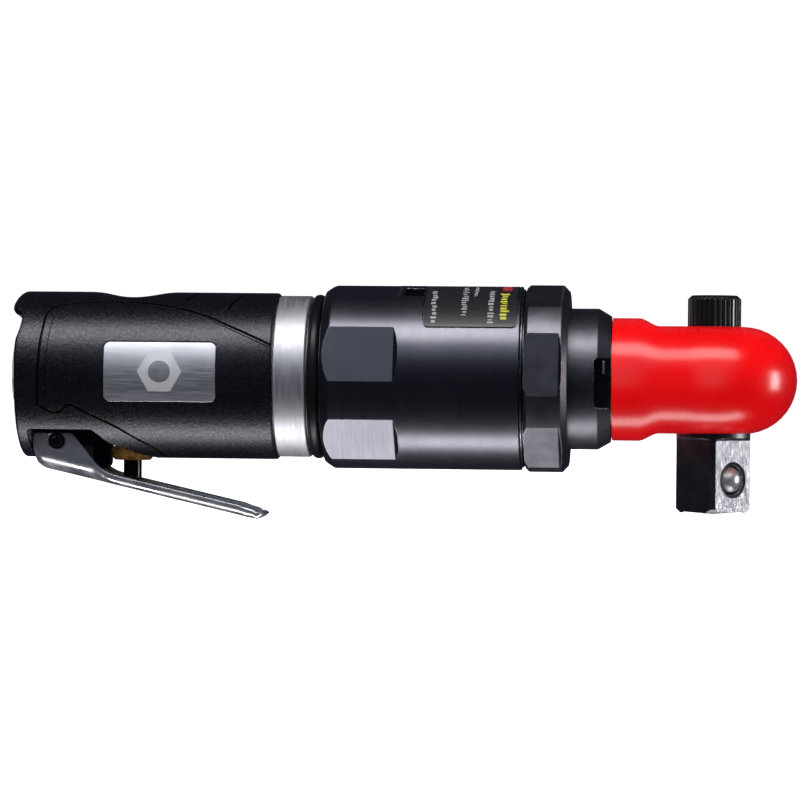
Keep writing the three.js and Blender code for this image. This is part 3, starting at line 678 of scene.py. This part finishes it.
def handle():
    """The sleeve, with the lever's bay, the valve's opening, the badge's recess and its grooves."""
    bore, mouth, mouth_depth = 17.3, 17.5, 2.6
    profile = rounded([
        (GRIP.x0, mouth, 0.3), (GRIP.x0, GRIP.radius, 0.7), (GRIP.x1, GRIP.radius, 0.5),
        (GRIP.x1, bore), (GRIP.x0 + mouth_depth, bore), (GRIP.x0 + mouth_depth, mouth),
    ])
    points, faces = turned(divided(profile, 0.9), segments=240)
    bay = rounded([
        (-155.7, -30), (-155.7, -12.5, 0.8), (-140.8, -12.5, 1.5), (-137.1, -15.7, 1.5),
        (-134, -16.9, 2), (-126.4, -19.4), (-126.4, -30),
    ])
    panel = [
        (-99.2, 20.8), (-102.5, 25.9), (-109.4, 36.2), (-115.3, 45.6), (-121.3, 53.0), (-128, 58.4),
        (-136.4, 60.8), (-143, 59.2), (-148.8, 55.2), (-151.2, 47.5), (-151.8, 33.4), (-152.2, 20),
        (-152.5, 0), (-152.7, -19), (-151.8, -22.6), (-149.8, -26.3), (-148.2, -26.9), (-147, -24.2),
        (-145.9, -21.4), (-144.2, -22.6), (-140.8, -28.2), (-135.4, -37.7), (-131.7, -46.9),
        (-128.2, -56.9), (-126.3, -65.6), (-124.8, -82),
    ]
    inner_step = [(-150.9, -14), (-150.7, 8), (-150.2, 30), (-149.6, 43)]
    upper_step = [(-99.2, 19.0), (-103, 24.2), (-109.6, 34.2), (-113.2, 40.2)]
    back_slant = [(-120.1, 63.3), (-119.2, 70), (-117.6, 80), (-117.0, 88)]
    front_slant = [(-110.1, 51.0), (-109.0, 62), (-107.0, 76), (-106.2, 88)]
    gap = 0.35
    recess = wrapped_plate(
        BADGE.x0 - gap, BADGE.x1 + gap, *badge_angles(gap), 1.7, BADGE_BACK - 0.1, GRIP.radius + 1
    )
    valve_opening = rod(5.4, -30, -12, "z", VALVE_AXIS)
    cutters = [prism(bay, "y", -25, 25), recess, valve_opening]
    for mirrored in (False, True):
        for route, width, depth in (
            (panel, 0.6, 0.8), (inner_step, 0.24, 0.2), (upper_step, 0.24, 0.2),
            (back_slant, 0.6, 0.8), (front_slant, 0.6, 0.8),
        ):
            cutters.append(groove(route, width, depth, GRIP.radius, mirrored))
    sleeve = carved("grip_sleeve", (dipped(points), faces), *cutters)
    show(sleeve, "grip_composite", "handle_grip", sharp=28)


def badge_angles(margin=0.0):
    """The badge's lower and upper edges, in degrees."""
    return [
        math.degrees(math.asin((height + side * margin) / GRIP.radius))
        for height, side in ((BADGE.z0, -1), (BADGE.z1, 1))
    ]


def badge():
    """The plate set in the sleeve, and its mark: a plain hexagon with a round hole."""
    low, high = badge_angles()
    plate = wrapped_plate(BADGE.x0, BADGE.x1, low, high, 1.4, BADGE_BACK, BADGE_FACE)
    show(solid("badge", plate), "badge_metal", "badge_plate")

    middle, half_across, hole = (low + high) / 2, 4.4, 2.5
    back, face = BADGE_FACE - 0.1, BADGE_FACE + 0.07
    sides, steps = 6, 8
    rings = []
    for k in range(sides * steps):
        turn = 2 * math.pi * k / (sides * steps)
        corner = half_across / math.cos((turn % (math.pi / 3)) - math.pi / 6)
        section = []
        for reach, radius in ((corner, back), (corner, face), (hole, face), (hole, back)):
            across = math.degrees(reach * math.sin(turn) / BADGE_FACE)
            section.append(on_tool(BADGE.x + reach * math.cos(turn), middle + across, radius))
        rings.append(section)
    emblem = solid("badge_emblem", loft(rings, closed=True))
    show(emblem, "badge_metal", finish=frosted_emblem())


# ---------------- throttle and inlet

def casting():
    """The black casting: a plug in the sleeve with a lug for the pin and one that stops the lever."""
    radius, pin_lug_half = 16.5, 5.2
    body = turned(rounded([
        (CASTING.x0, 0), (CASTING.x0, radius, 0.4), (CASTING.x1, radius, 0.4), (CASTING.x1, 0),
    ]), segments=96)
    obj = solid("throttle_casting", body)
    pin_lug = block((-154.3, -145.7), (-pin_lug_half, pin_lug_half), (-18.8, -10), 1.2)
    stop_lug = prism(rounded([
        (-142.3, -10), (-142.3, -21.75, 1.8), (-138.3, -21.75, 1.8), (-138.3, -10),
    ]), "y", -2, 2)
    combine(obj, "UNION", [pin_lug, stop_lug])
    ear_room = [
        block((-162, -139.5), side, (-25, -12.3), 0.8)
        for side in ((-20, -pin_lug_half - 0.1), (pin_lug_half + 0.1, 20))
    ]
    inlet_bore = rod(7.8, -160, -143.7)
    pin_bore = rod(1.85, -20, 20, "y", PIVOT)
    valve_bores = [
        rod(bore, low, high, "z", VALVE_AXIS)
        for bore, low, high in (
            (4.4, -3, 20), (5.0, 9, 20), (3.0, -12, 0), (4.1, -25, -9), (5.2, -25, -16.1),
        )
    ]
    combine(obj, "DIFFERENCE", [*ear_room, inlet_bore, pin_bore, *valve_bores])
    show(obj, "throttle_casting", "throttle_body")


def valve_parts():
    """The valve's brass guide, and the valve with its stem."""
    bore, body, flange_top = 2.4, 3.8, -16.4
    guide = turned(rounded([
        (GUIDE.z0, bore, 0.2), (GUIDE.z0, 4.1, 0.25), (GUIDE.z0 + 0.9, GUIDE.y1, 0.25),
        (flange_top, GUIDE.y1, 0.2), (flange_top, body, 0.2), (GUIDE.z1, body, 0.2),
        (GUIDE.z1, bore, 0.2),
    ]), "z", VALVE_AXIS, 96)
    show(solid("valve_guide", guide), "brass", "valve_bushing")

    rod_radius, head_radius, head_start = 2.1, 3.9, -2.7
    stem = turned([(STEM.z0, 0)] + rounded([
        (STEM.z0, 1.3, 0.2), (STEM.z0 + 0.9, rod_radius, 0.3), (head_start, rod_radius, 0.2),
        (head_start, head_radius, 0.2), (STEM.z1, head_radius, 0.4), (STEM.z1, 0.5, 0.1),
    ]) + [(STEM.z1, 0)], "z", VALVE_AXIS, 64)
    dark = black_steel("valve_stem_finish", (0.035, 0.033, 0.034), 0.16, 0.3)
    show(solid("valve_stem", stem), "black_steel", "throttle_valve", body="valve", finish=dark)


def coil_spring():
    """The throttle valve's spring, built at one length; the real spring shortens as the valve is pushed
    in.
    """
    wire, turns, steps = 0.35, 5, 20
    radius, low, high = SPRING.radius - wire, SPRING.z0 + wire, SPRING.z1 - wire
    rings = []
    for share in np.linspace(0, 1, turns * steps + 1):
        turn = 2 * math.pi * turns * share
        outward = np.array((math.cos(turn), math.sin(turn), 0))
        centre = np.array((GUIDE.x, 0, low + (high - low) * share)) + radius * outward
        rings.append([
            centre + wire * (math.cos(a) * outward + math.sin(a) * np.array((0, 0, 1)))
            for a in circle(8)
        ])
    spring = solid("valve_coil", loft(rings))
    show(spring, "machined_steel", "valve_spring", finish=FINISH["bearing_steel"])
    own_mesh(spring)


def roll_pin():
    """The rolled spring pin, slit along its length."""
    hollow, radius, slit_half = 0.85, 1.55, 0.2
    profile = rounded([
        (PIN.y0, hollow, 0.1), (PIN.y0, radius, 0.3), (PIN.y1, radius, 0.3), (PIN.y1, hollow, 0.1),
    ])
    tube = turned(profile, "y", PIVOT, 64)
    slit = block((PIN.x - slit_half, PIN.x + slit_half), (-9, 9), (PIN.z + 0.3, PIN.z + 3), 0.05)
    show(carved("roll_pin", tube, slit), "machined_steel", "lever_pin", finish=FINISH["black_steel"])


def channel_section(origin, up, half_width, height, sheet):
    """One section of the lever: bent sheet with a shallow arch below and upright sides."""
    half = sheet / 2
    corner = max(sheet + 0.03, min(2.8, 0.55 * height))
    reach = half_width - corner
    drop = max(0.1, min(4.2, height - half) - corner)
    arch = (reach**2 + drop**2) / (2 * drop)
    spread = math.asin(reach / arch)
    right = []  # the middle of the sheet: (across, up, turned by)
    for turn in np.linspace(0, spread, 6):
        radius = arch + corner - half
        right.append((radius * math.sin(turn), arch + corner - radius * math.cos(turn), turn))
    for turn in np.linspace(spread, math.pi / 2, 6)[1:]:
        radius = corner - half
        right.append((reach + radius * math.sin(turn), drop + corner - radius * math.cos(turn), turn))
    wall_end = max(right[-1][1] + 0.01, height - half)
    right.append((half_width - half, wall_end, math.pi / 2))
    middle = [(-a, b, -turn) for a, b, turn in reversed(right)] + right[1:]
    outer, inner = (
        [(a + side * math.sin(turn), b - side * math.cos(turn)) for a, b, turn in middle]
        for side in (half, -half)
    )
    right_rim, left_rim = (
        [(side + half * math.cos(turn), wall_end + half * math.sin(turn))
         for turn in np.linspace(0, math.pi, 7)[1:-1]]
        for side in (half_width - half, half - half_width)
    )
    outline = outer + right_rim + inner[::-1] + left_rim
    return [np.array(origin) + np.array((up[0] * b, a, up[1] * b)) for a, b in outline]


def lever():
    """The lever: a channel of bent chromed sheet, tall at its ears and curled up at its tip."""
    gauge, curl_start = 1.2, -105.6

    def underside(x):
        """The height of the straight bottom edge."""
        return -22.67 - 0.2293 * (x + 149.2)

    top = [
        (-155.3, -13.7), (-154.9, -13.4), (-146.8, -13.4), (-146.2, -13.6), (-145.6, -14.2),
        (-141.6, -19.3), (-140.9, -20.2), (-139.8, -21.2), (-138.0, -22.2), (-136, -22.85),
        (-134.3, -23.3), (-107.9, -29.3), (-106.4, -29.9), (-105.2, -30.8), (-104.6, -31.6),
    ]
    bottom = [(-155.3, -19.9), (-155.0, -20.6), (-154.3, -21.2), (-153.3, underside(-153.3))]
    straight = [(x, underside(x)) for x in np.arange(-152, curl_start, 0.8)]
    tops_x, tops_z = zip(*top)
    bottoms_x, bottoms_z = zip(*(bottom + straight))
    rings = []
    for x in sorted({round(float(x), 2) for x in (*tops_x, *bottoms_x) if x <= curl_start}):
        low = float(np.interp(x, bottoms_x, bottoms_z))
        high = float(np.interp(x, tops_x, tops_z))
        rings.append(channel_section((x, 0, low), (0, 1), LEVER.y1, high - low, gauge))
    curl = [  # x, z, lean, height, sheet
        (-104.7, -32.72, 0.10, 2.295, 1.15), (-103.9, -32.72, 0.0, 1.63, 1.1),
        (-103.2, -32.5, -0.30, 1.3, 1.0), (-102.6, -32.05, -0.65, 1.17, 0.9),
        (-102.2, -31.6, -0.85, 0.975, 0.75),
    ]
    for x, z, lean, height, sheet in curl:
        up = (lean, math.sqrt(1 - lean**2))
        rings.append(channel_section((x, 0, z), up, LEVER.y1 - 0.2, height, sheet))
    hole, countersink, side = 1.85, 2.3, LEVER.y1
    pin_hole = turned([
        (-20, 0), (-20, countersink), (-side - 0.05, countersink), (-side + 0.4, hole),
        (side - 0.4, hole), (side + 0.05, countersink), (20, countersink), (20, 0),
    ], "y", PIVOT, 48)
    channel = carved("lever_channel", loft(rings), pin_hole)
    show(channel, "chrome_sheet", "throttle_lever", body="lever", sharp=30)


def inlet():
    """The threaded hose bushing, with a hexagonal shoulder."""
    pitch, turns, crest, root = 1.3, 10, 5.65, 6.2
    barrel_radius, shoulder_radius, shoulder_end, half_across = 7.5, 8.6, -155.9, 7.9
    thread = []
    for k in range(turns):
        start = INLET.x0 + 1.2 + k * pitch
        thread += [(start + pitch / 2, root), (start, crest)]
    profile = rounded([
        (INLET.x0, 6.6), (INLET.x0, shoulder_radius, 0.5), (shoulder_end, shoulder_radius),
        (shoulder_end, barrel_radius), (INLET.x1, barrel_radius), (INLET.x1, crest),
    ]) + thread[::-1]
    side = block((-170, shoulder_end - 0.3), (-12, -half_across), (-8, 8), 0.05)
    flats = [spun(side, 60 * k) for k in range(6)]
    bushing = carved("inlet_thread", turned(profile, segments=96), *flats)
    show(bushing, "machined_steel", "inlet_bushing")


def exhaust_ring():
    """The domed chromed ring that turns the exhaust air aside through its slots."""
    hole, slot_inner, slot_outer, slot_half = 9.0, 10.8, 14.8, 1
    profile = rounded([
        (DOME.x1, hole), (DOME.x0, hole, 0.4), (-159.3, 11.0, 2), (-158.4, 14.2, 3),
        (-157.4, DOME.radius, 0.5), (DOME.x1, DOME.radius),
    ])
    slot = rounded([
        (-slot_half, slot_inner, 0.9), (slot_half, slot_inner, 0.9),
        (slot_half, slot_outer, 0.9), (-slot_half, slot_outer, 0.9),
    ])
    slots = [spun(prism(slot, "x", -170, -150), 24 * k) for k in range(-3, 4)]
    ring = carved("exhaust_ring", turned(profile, segments=128), *slots)
    finish = chrome("exhaust_ring_finish", 0.26)
    show(ring, "chrome_sheet", "exhaust_deflector", body="deflector", finish=finish)


# ---------------- motor and barrel

def motor_sleeve():
    """The motor's sleeve with its bright collar, and the rubber ring in front of the collar."""
    collar, back, front, bore = SLEEVE.radius, 16.5, 16.2, 13.6
    profile = rounded([
        (SLEEVE.x0, bore), (SLEEVE.x0, back), (COLLAR_BACK, back), (COLLAR_BACK, collar, 0.35),
        (COLLAR_FRONT, collar, 0.45), (COLLAR_FRONT, front), (SLEEVE.x1, front), (SLEEVE.x1, bore),
    ])
    sleeve = solid("motor_sleeve", turned(profile, segments=192))
    show(sleeve, "housing_alloy", "motor_housing")

    half = (RING.x1 - RING.x0) / 2
    half_height = 0.93 * half
    section = [
        (RING.x + half * math.cos(a), RING.radius - half_height + half_height * math.sin(a))
        for a in circle(24)
    ]
    show(solid("seal_ring", turned(section)), "black_rubber", "front_o_ring")


def flat_cutter(start, end, ramp, distance, degrees, fillet):
    """A cutter for a milled flat that faces an angle, with a filleted run-out at its front."""
    run_out, top = distance + 1.9, distance + 4
    side_view = rounded([
        (start, distance), (end, distance, fillet), (end + ramp, run_out),
        (end + ramp, top), (start, top),
    ], 8)
    return spun(prism(side_view, "y", -14, 14), 90 - degrees)


def label_angles(margin=0.0):
    """The label's lower and upper edges, in degrees."""
    low = math.degrees(math.atan2(LABEL.z0, -LABEL.y0))
    high = 138.5
    return low - margin, high + margin


def barrel():
    """The barrel, with six wrench flats, the label's recess and a milled pocket behind it."""
    radius, lip, spigot, bore, back_bore = BARREL.radius, 20.3, 19.0, 17.8, 16.5
    front, bore_start = LABEL.x1 + 1.5, -83.3
    profile = rounded([
        (BARREL.x0, back_bore), (BARREL.x0, 19.6, 0.4), (BARREL.x0 + 2.1, radius, 1.2),
        (front - 0.7, radius, 0.3), (front - 0.4, lip, 0.1), (front, lip, 0.3), (front, spigot),
        (BARREL.x1, spigot), (BARREL.x1, bore), (bore_start, bore), (bore_start, back_bore),
    ])
    flats = [
        flat_cutter(start=-92, end=-71.8, ramp=1.9, distance=20.0, degrees=15 + 60 * k, fillet=0.5)
        for k in range(6)
    ]
    low, high = label_angles(0.8)
    recess = wrapped_plate(LABEL.x0 - 0.3, LABEL.x1 + 0.3, low, high, 1.3, LABEL_BACK - 0.05, radius + 1)
    pocket = wrapped_plate(LABEL.x0 - 4.9, LABEL.x0 - 0.5, 61.5, 75, 0.4, 18.6, radius + 1)
    shell = carved("barrel_shell", turned(profile, segments=240), *flats, recess, pocket)
    show(shell, "blue_black_steel", "gear_barrel", sharp=9)


def label():
    """The label's film, and its print: rows of plain strokes of random length, and one red block."""
    low, high = label_angles()
    film = wrapped_plate(LABEL.x0, LABEL.x1, low, high, 1.2, LABEL_BACK, LABEL_FACE)
    show(solid("label_film", film), "label_film", "rating_label")

    rows = {  # colour, then rows of (distance from the front edge, width, lower and upper angle)
        "pale": ((0.36, 0.36, 0.36), [
            (4.9, 1.7, 36, 70), (8.9, 1.0, 62, 80), (11.0, 1.6, 42, 78), (17.9, 1.5, 36, 69),
        ]),
        "yellow": ((0.62, 0.60, 0.05), [(1.6, 2.4, 39, 66)]),
        "red": ((0.45, 0.02, 0.02), [(0.6, 3.4, 71, 86)]),
    }
    dice = random.Random(4)
    for ink, (color, lines) in rows.items():
        marks = []
        for back, width, start, end in lines:
            x, angle = LABEL.x1 - back, start
            while angle < end:
                stroke = dice.uniform(0.9, 2.2) if ink != "red" else end - start
                x0 = x - width + dice.uniform(0, 0.3) * width
                x1 = x - dice.uniform(0, 0.3) * width
                marks.append(wrapped_plate(
                    x0, x1, angle, angle + stroke, 0.12, LABEL_FACE - 0.08, LABEL_FACE + 0.02
                ))
                angle += stroke + dice.uniform(0.8, 1.6)
        finish = printed(f"label_ink_{ink}", color)
        show(solid(f"label_print_{ink}", together(marks)), "label_film", finish=finish)


def nut():
    """The faceted nut, whose back recess takes the barrel's spigot."""
    rim, recess, bore, recess_end = 21.35, 19.3, 16.4, -36.3
    profile = rounded([
        (NUT.x0, recess), (NUT.x0, 20.6, 0.2), (NUT.x0 + 0.8, rim, 0.35), (-34.2, rim, 0.4),
        (NUT.x1, 19.9, 0.4), (NUT.x1, bore, 0.2), (recess_end, bore), (recess_end, recess),
    ])
    flats = [
        flat_cutter(start=-45, end=-34.7, ramp=1.3, distance=20.1, degrees=8.9 + 60 * k, fillet=0.4)
        for k in range(6)
    ]
    body = turned(profile, segments=240)
    show(carved("head_nut", body, *flats), "black_steel", "clamp_nut", sharp=9)


# ---------------- ratchet head

def ratchet_head():
    """The steel neck and the head inside the boot, with a window milled in the neck's side whose floor is
    painted dark as shade.
    """
    flange, neck, lap, start, window_floor = 17.5, 16.1, 12.3, -21, -12.9
    profile = [(NECK.x0, 0)] + rounded([
        (NECK.x0, flange), (-36.6, flange), (-36.6, neck), (-26.2, neck, 0.5),
        (-23.3, 14.4), (-23.3, lap), (start + 1, lap),
    ]) + [(start + 1, 0)]
    obj = solid("head_housing", turned(profile, segments=200))
    combine(obj, "UNION", [head_form(1.7, start)])
    window = rounded([(-26.9, -6.6, 1.1), (start, -6.6), (start, 4.8), (-26.9, 4.8, 1.1)])
    crank_bores = [rod(8.0, -60, -28), rod(6.9, -30, start)]
    yoke_room = [rod(12.9, -20, 6.3, "z"), block((-22.6, -8), (-9.4, 9.4), (-5, 5))]
    cover_bores = [rod(7.4, 0, 20, "z"), rod(9.3, 8.6, 20, "z")]
    combine(obj, "DIFFERENCE", [
        prism(window, "y", -20, window_floor), *crank_bores, *yoke_room, *cover_bores,
    ])

    def on_shaded_window_floor(place, normal):
        """Whether a face is the window's floor, which gets the darker casting finish as painted shade."""
        x, y, z = place
        return -27 < x < -23 and y < window_floor + 0.1 and abs(normal.y) > 0.99 and math.hypot(y, z) < 15

    # The window's floor takes the darker casting finish: painted shade inside the deep window.
    paint_faces(obj, FINISH["black_steel"], FINISH["throttle_casting"], on_shaded_window_floor)
    show(obj, "black_steel", "ratchet_housing")

    tick = solid("window_tick", block((-25.0, -24.5), (-14.4, -12.8), (1.2, 4.1), 0.1))
    show(tick, "machined_steel")


def both_sides(half):
    """A closed ring from its half on the far side of the tool."""
    return half + [(x, -y, -z) for x, y, z in half]


def head_ring(x, inset):
    """A section of the boot across the tool: half-round edges, flat above and below."""
    collar, collar_end, head_start = 14.0, -17.1, -12.3
    flattened = min(1.0, max(0.0, (x - collar_end) / (head_start - collar_end)))
    flattened *= flattened * (3 - 2 * flattened)
    height = collar + (HEAD_HALF_HEIGHT - collar) * flattened - inset
    tangent_x, tangent_y, slope, softness = -6.3, 17.8, 0.352, 0.8
    line = tangent_y + slope * (min(x, tangent_x) - tangent_x)
    plan = math.sqrt(BOOT.radius**2 - x**2) if x > tangent_x else line
    width = softness * np.logaddexp(collar / softness, plan / softness) - inset
    return both_sides([
        (x, width - height + height * math.cos(a), height * math.sin(a)) for a in HEAD_ARC
    ])


def head_form(inset, start):
    """The boot's outside, or a form inside it, from a start to its round nose."""
    half, flat = HEAD_HALF_HEIGHT - inset, BOOT.radius - HEAD_HALF_HEIGHT
    edge = [(flat + half * math.cos(a), half * math.sin(a)) for a in HEAD_ARC]
    rings = [head_ring(x, inset) for x in np.arange(start, -0.4, 0.45)]
    for turn in np.radians(np.arange(0, 90.1, 3)):
        rings.append(both_sides([
            (reach * math.sin(turn), reach * math.cos(turn), z) for reach, z in edge
        ]))
    return loft(rings, far_cap=False)


def boot():
    """The red boot, open at its collar, under the drive and round the knob."""
    wall, collar_bore, drive_hole, knob_hole = 1.3, 12.8, 8.8, 6.5
    openings = [rod(collar_bore, -40, -17.1), rod(drive_hole, -20, 0, "z"), rod(knob_hole, 0, 20, "z")]
    obj = carved("head_cap", head_form(0, BOOT.x0), head_form(wall, -21), *openings)
    show(obj, "red_rubber", "head_boot", sharp=35)


def knob():
    """The ribbed direction knob, with a chamfered top, a pointer mark and a socket for its shaft."""
    ribs, crest, root, top = 32, KNOB.radius, KNOB.radius - 0.5, KNOB.z1
    outline = []
    for k in range(ribs):
        for part, radius in ((-0.26, crest), (-0.1, crest), (0.1, crest), (0.26, crest), (0.5, root)):
            turn = 2 * math.pi * (k + part) / ribs
            outline.append((radius * math.cos(turn), radius * math.sin(turn)))
    body = prism(outline, "z", KNOB.z0, top)
    chamfer = turned([
        (top - 0.9, crest + 2), (top - 0.9, crest + 0.02), (top - 0.25, crest - 0.65),
        (top, crest - 1.0), (top + 1, crest - 1.0), (top + 1, crest + 2),
    ], "z", segments=128)
    mark = block((-0.35, 0.35), (-4.2, 0.5), (top - 0.35, top + 1), 0.1)
    socket = rod(2.5, KNOB.z0 - 1, 17, "z")
    obj = carved("direction_knob", body, chamfer, mark, socket)
    show(obj, "knob_plastic", "selector_knob", body="selector")


def drive():
    """The drive square, milled on a round shank, with the seat of its retaining ball."""
    end, top, flat_top, half = ANVIL.z0, ANVIL.z1, -13.0, 6.35
    shank, journal, groove_root, pawl_x = 8.4, 7.1, 6.2, 5.6
    profile = [(end, 0)] + rounded([
        (end, 7.1, 0.3), (end + 1.3, shank, 0.5), (-6.3, shank), (-6.3, 8.5), (6, 8.5), (6, journal),
        (8.6, journal), (8.6, groove_root), (10.0, groove_root), (10.0, journal),
        (top, journal, 0.3), (top, 0.5),
    ]) + [(top, 0)]
    flat = rounded([
        (end - 3, half), (flat_top - 0.4, half, 0.4), (flat_top, half + 2.3),
        (flat_top, half + 6), (end - 3, half + 6),
    ], 8)
    cutter = prism([(reach, height) for height, reach in flat], "y", -12, 12)
    flats = [spun(cutter, 45 + 90 * k, "Z") for k in range(4)]
    seat = turned([
        (-2, 0), (-2, 3.35), (5.7, 3.35), (5.9, 3.5), (6.05, 3.52), (6.36, 4.15), (9, 4.15), (9, 0),
    ], "ball", BALL_CENTRE, 96)
    bore = rod(2.5, -4.7, 20, "z")
    pockets = [block(x, (-5.9, 5.9), (-4.5, 4.5), 0.5) for x in ((-12, -3.2), (3.2, 12))]
    window = block((-4, 4), (-2.1, 2.1), (-1.4, 1.4), 0.3)
    pins = [rod(1.2, -6, 20, "z", (x, 0, 0), 24) for x in (-pawl_x, pawl_x)]
    cutters = [*flats, seat, bore, *pockets, window, *pins]
    obj = carved("drive_square", turned(profile, "z"), *cutters)

    def on_ball_side(place, normal):
        """Whether a face is on the ground side of the square, where the ball is."""
        outward = Vector(AXES["ball"][0])
        reach = place.dot(outward)
        return normal.dot(outward) > 0.97 and 5.6 < reach < 6.4 and place.z < flat_top

    paint_faces(obj, FINISH["black_steel"], ground_steel(), on_ball_side)
    show(obj, "black_steel", "drive_anvil", body="anvil", sharp=18)


def ball():
    """The ball that holds a socket on the drive square."""
    radius, centre = 3.1, 4.5
    profile = [
        (centre + radius * math.sin(a), radius * math.cos(a))
        for a in np.linspace(-math.pi / 2, math.pi / 2, 25)
    ]
    obj = solid("retaining_ball_finish", turned(profile, "ball", BALL_CENTRE, 48))
    finish = chrome("ball_steel", 0.38, (0.80, 0.79, 0.77))
    show(obj, "bearing_steel", "retaining_ball", body="ball", finish=finish, sharp=60)


# ---------------- inner parts keep their CAD shape

def finish_inner_parts():
    """Gives every CAD node the material of its slot."""
    for part in frame["record"]["subparts"]:
        node = frame["nodes"][part["node"]]
        node.data.materials.clear()
        node.data.materials.append(FINISH[part["material_slot"]])


# ---------------- studio

def studio():
    """A glowing white room whose floor curves up all round, and soft lights on every side."""
    gap, radius, bend, ceiling = 1, 3200, 900, 6000
    ground = (CAD_BOX[0].z - AXIS) / MM - gap
    curve = [
        (ground + bend * (1 - math.cos(a)), radius + bend * math.sin(a))
        for a in np.linspace(0, math.pi / 2, 12)
    ]
    room = [(ground, 0), *curve, (ceiling, radius + bend), (ceiling, 0)]
    floor = solid("studio_floor", turned(room, "z", segments=64))
    paint = Paint(
        "studio_white", (0.80, 0.80, 0.80), 0.9,
        Emission_Color=(1.0, 1.0, 1.0), Emission_Strength=1.05,
    )
    haze = paint.noise(300, 2)
    paint.set(Base_Color=paint.mix(haze, (0.78, 0.78, 0.78), (0.82, 0.82, 0.82)))
    floor.data.materials.append(paint.material)
    floor.data.shade_smooth()
    floor.visible_glossy = False
    floor.visible_diffuse = False
    floor.visible_shadow = False

    world = bpy.data.worlds.new("studio_world")
    bpy.context.scene.world = world
    world.use_nodes = True
    background = world.node_tree.nodes["Background"].inputs
    background["Color"].default_value = (0.5, 0.55, 1.0, 1)
    background["Strength"].default_value = 0.04

    middle = Vector(((CAD_BOX[0].x + CAD_BOX[1].x) / 2, 0, AXIS))
    white, slate = (1.0, 1.0, 1.0), (0.62, 0.75, 1.0)
    lights = {  # azimuth, elevation, then metres: distance, length, width; watts, colour, in gloss
        "upper_softbox": (0, 59, 0.62, 0.75, 0.25, 3.9, white, True),
        "lower_softbox": (0, -87, 0.62, 0.75, 0.20, 3.2, white, True),
        "slate_card": (0, 33, 0.90, 1.2, 0.20, 0.45, slate, True),
        "front_fill": (0, 8, 1.6, 1.2, 1.2, 11.0, white, False),
        "nose_light": (92, 0, 0.55, 0.10, 0.20, 1.1, white, True),
        "tail_light": (-140, 8, 0.60, 0.30, 0.30, 0.22, white, True),
        "back_light": (180, 30, 1.2, 1.0, 0.8, 9.0, white, False),
    }
    for name, (azimuth, elevation, distance, length, width, power, color, glossy) in lights.items():
        a, e = math.radians(azimuth), math.radians(elevation)
        away = Vector((math.sin(a) * math.cos(e), -math.cos(a) * math.cos(e), math.sin(e)))
        light = bpy.data.lights.new(name, "AREA")
        light.shape = "RECTANGLE"
        light.size, light.size_y = length, width
        light.energy = power
        light.color = color
        lamp = bpy.data.objects.new(name, light)
        bpy.context.scene.collection.objects.link(lamp)
        lamp.location = middle + away * distance
        across = Vector((math.cos(a), math.sin(a), 0))
        upward = away.cross(across)
        lamp.rotation_euler = Matrix((across, upward, away)).transposed().to_euler()
        lamp.visible_camera = False
        lamp.visible_glossy = glossy


def camera():
    """A long lens in front of the head, aimed at the tool's middle and rolled slightly."""
    data = bpy.data.cameras.new("studio_camera")
    data.lens, data.sensor_width = 170.7, 36
    lens = bpy.data.objects.new("studio_camera", data)
    bpy.context.scene.collection.objects.link(lens)
    axis = Vector((0, 0, AXIS))
    place = Vector((0, -867, 0)) * MM + axis
    target = Vector((-71.7, 0, -5.2)) * MM + axis
    lens.location = place
    roll = Matrix.Rotation(math.radians(0.54), 3, "Z")
    look = (target - place).to_track_quat("-Z", "Y").to_matrix()
    lens.rotation_euler = (look @ roll).to_euler()
    bpy.context.scene.camera = lens
    bpy.context.scene.view_settings.view_transform = "Standard"


for build in (
    handle, badge, casting, valve_parts, coil_spring, roll_pin, lever, inlet, exhaust_ring,
    motor_sleeve, barrel, label, nut, ratchet_head, boot, knob, drive, ball,
    finish_inner_parts, studio, camera,
):
    build()
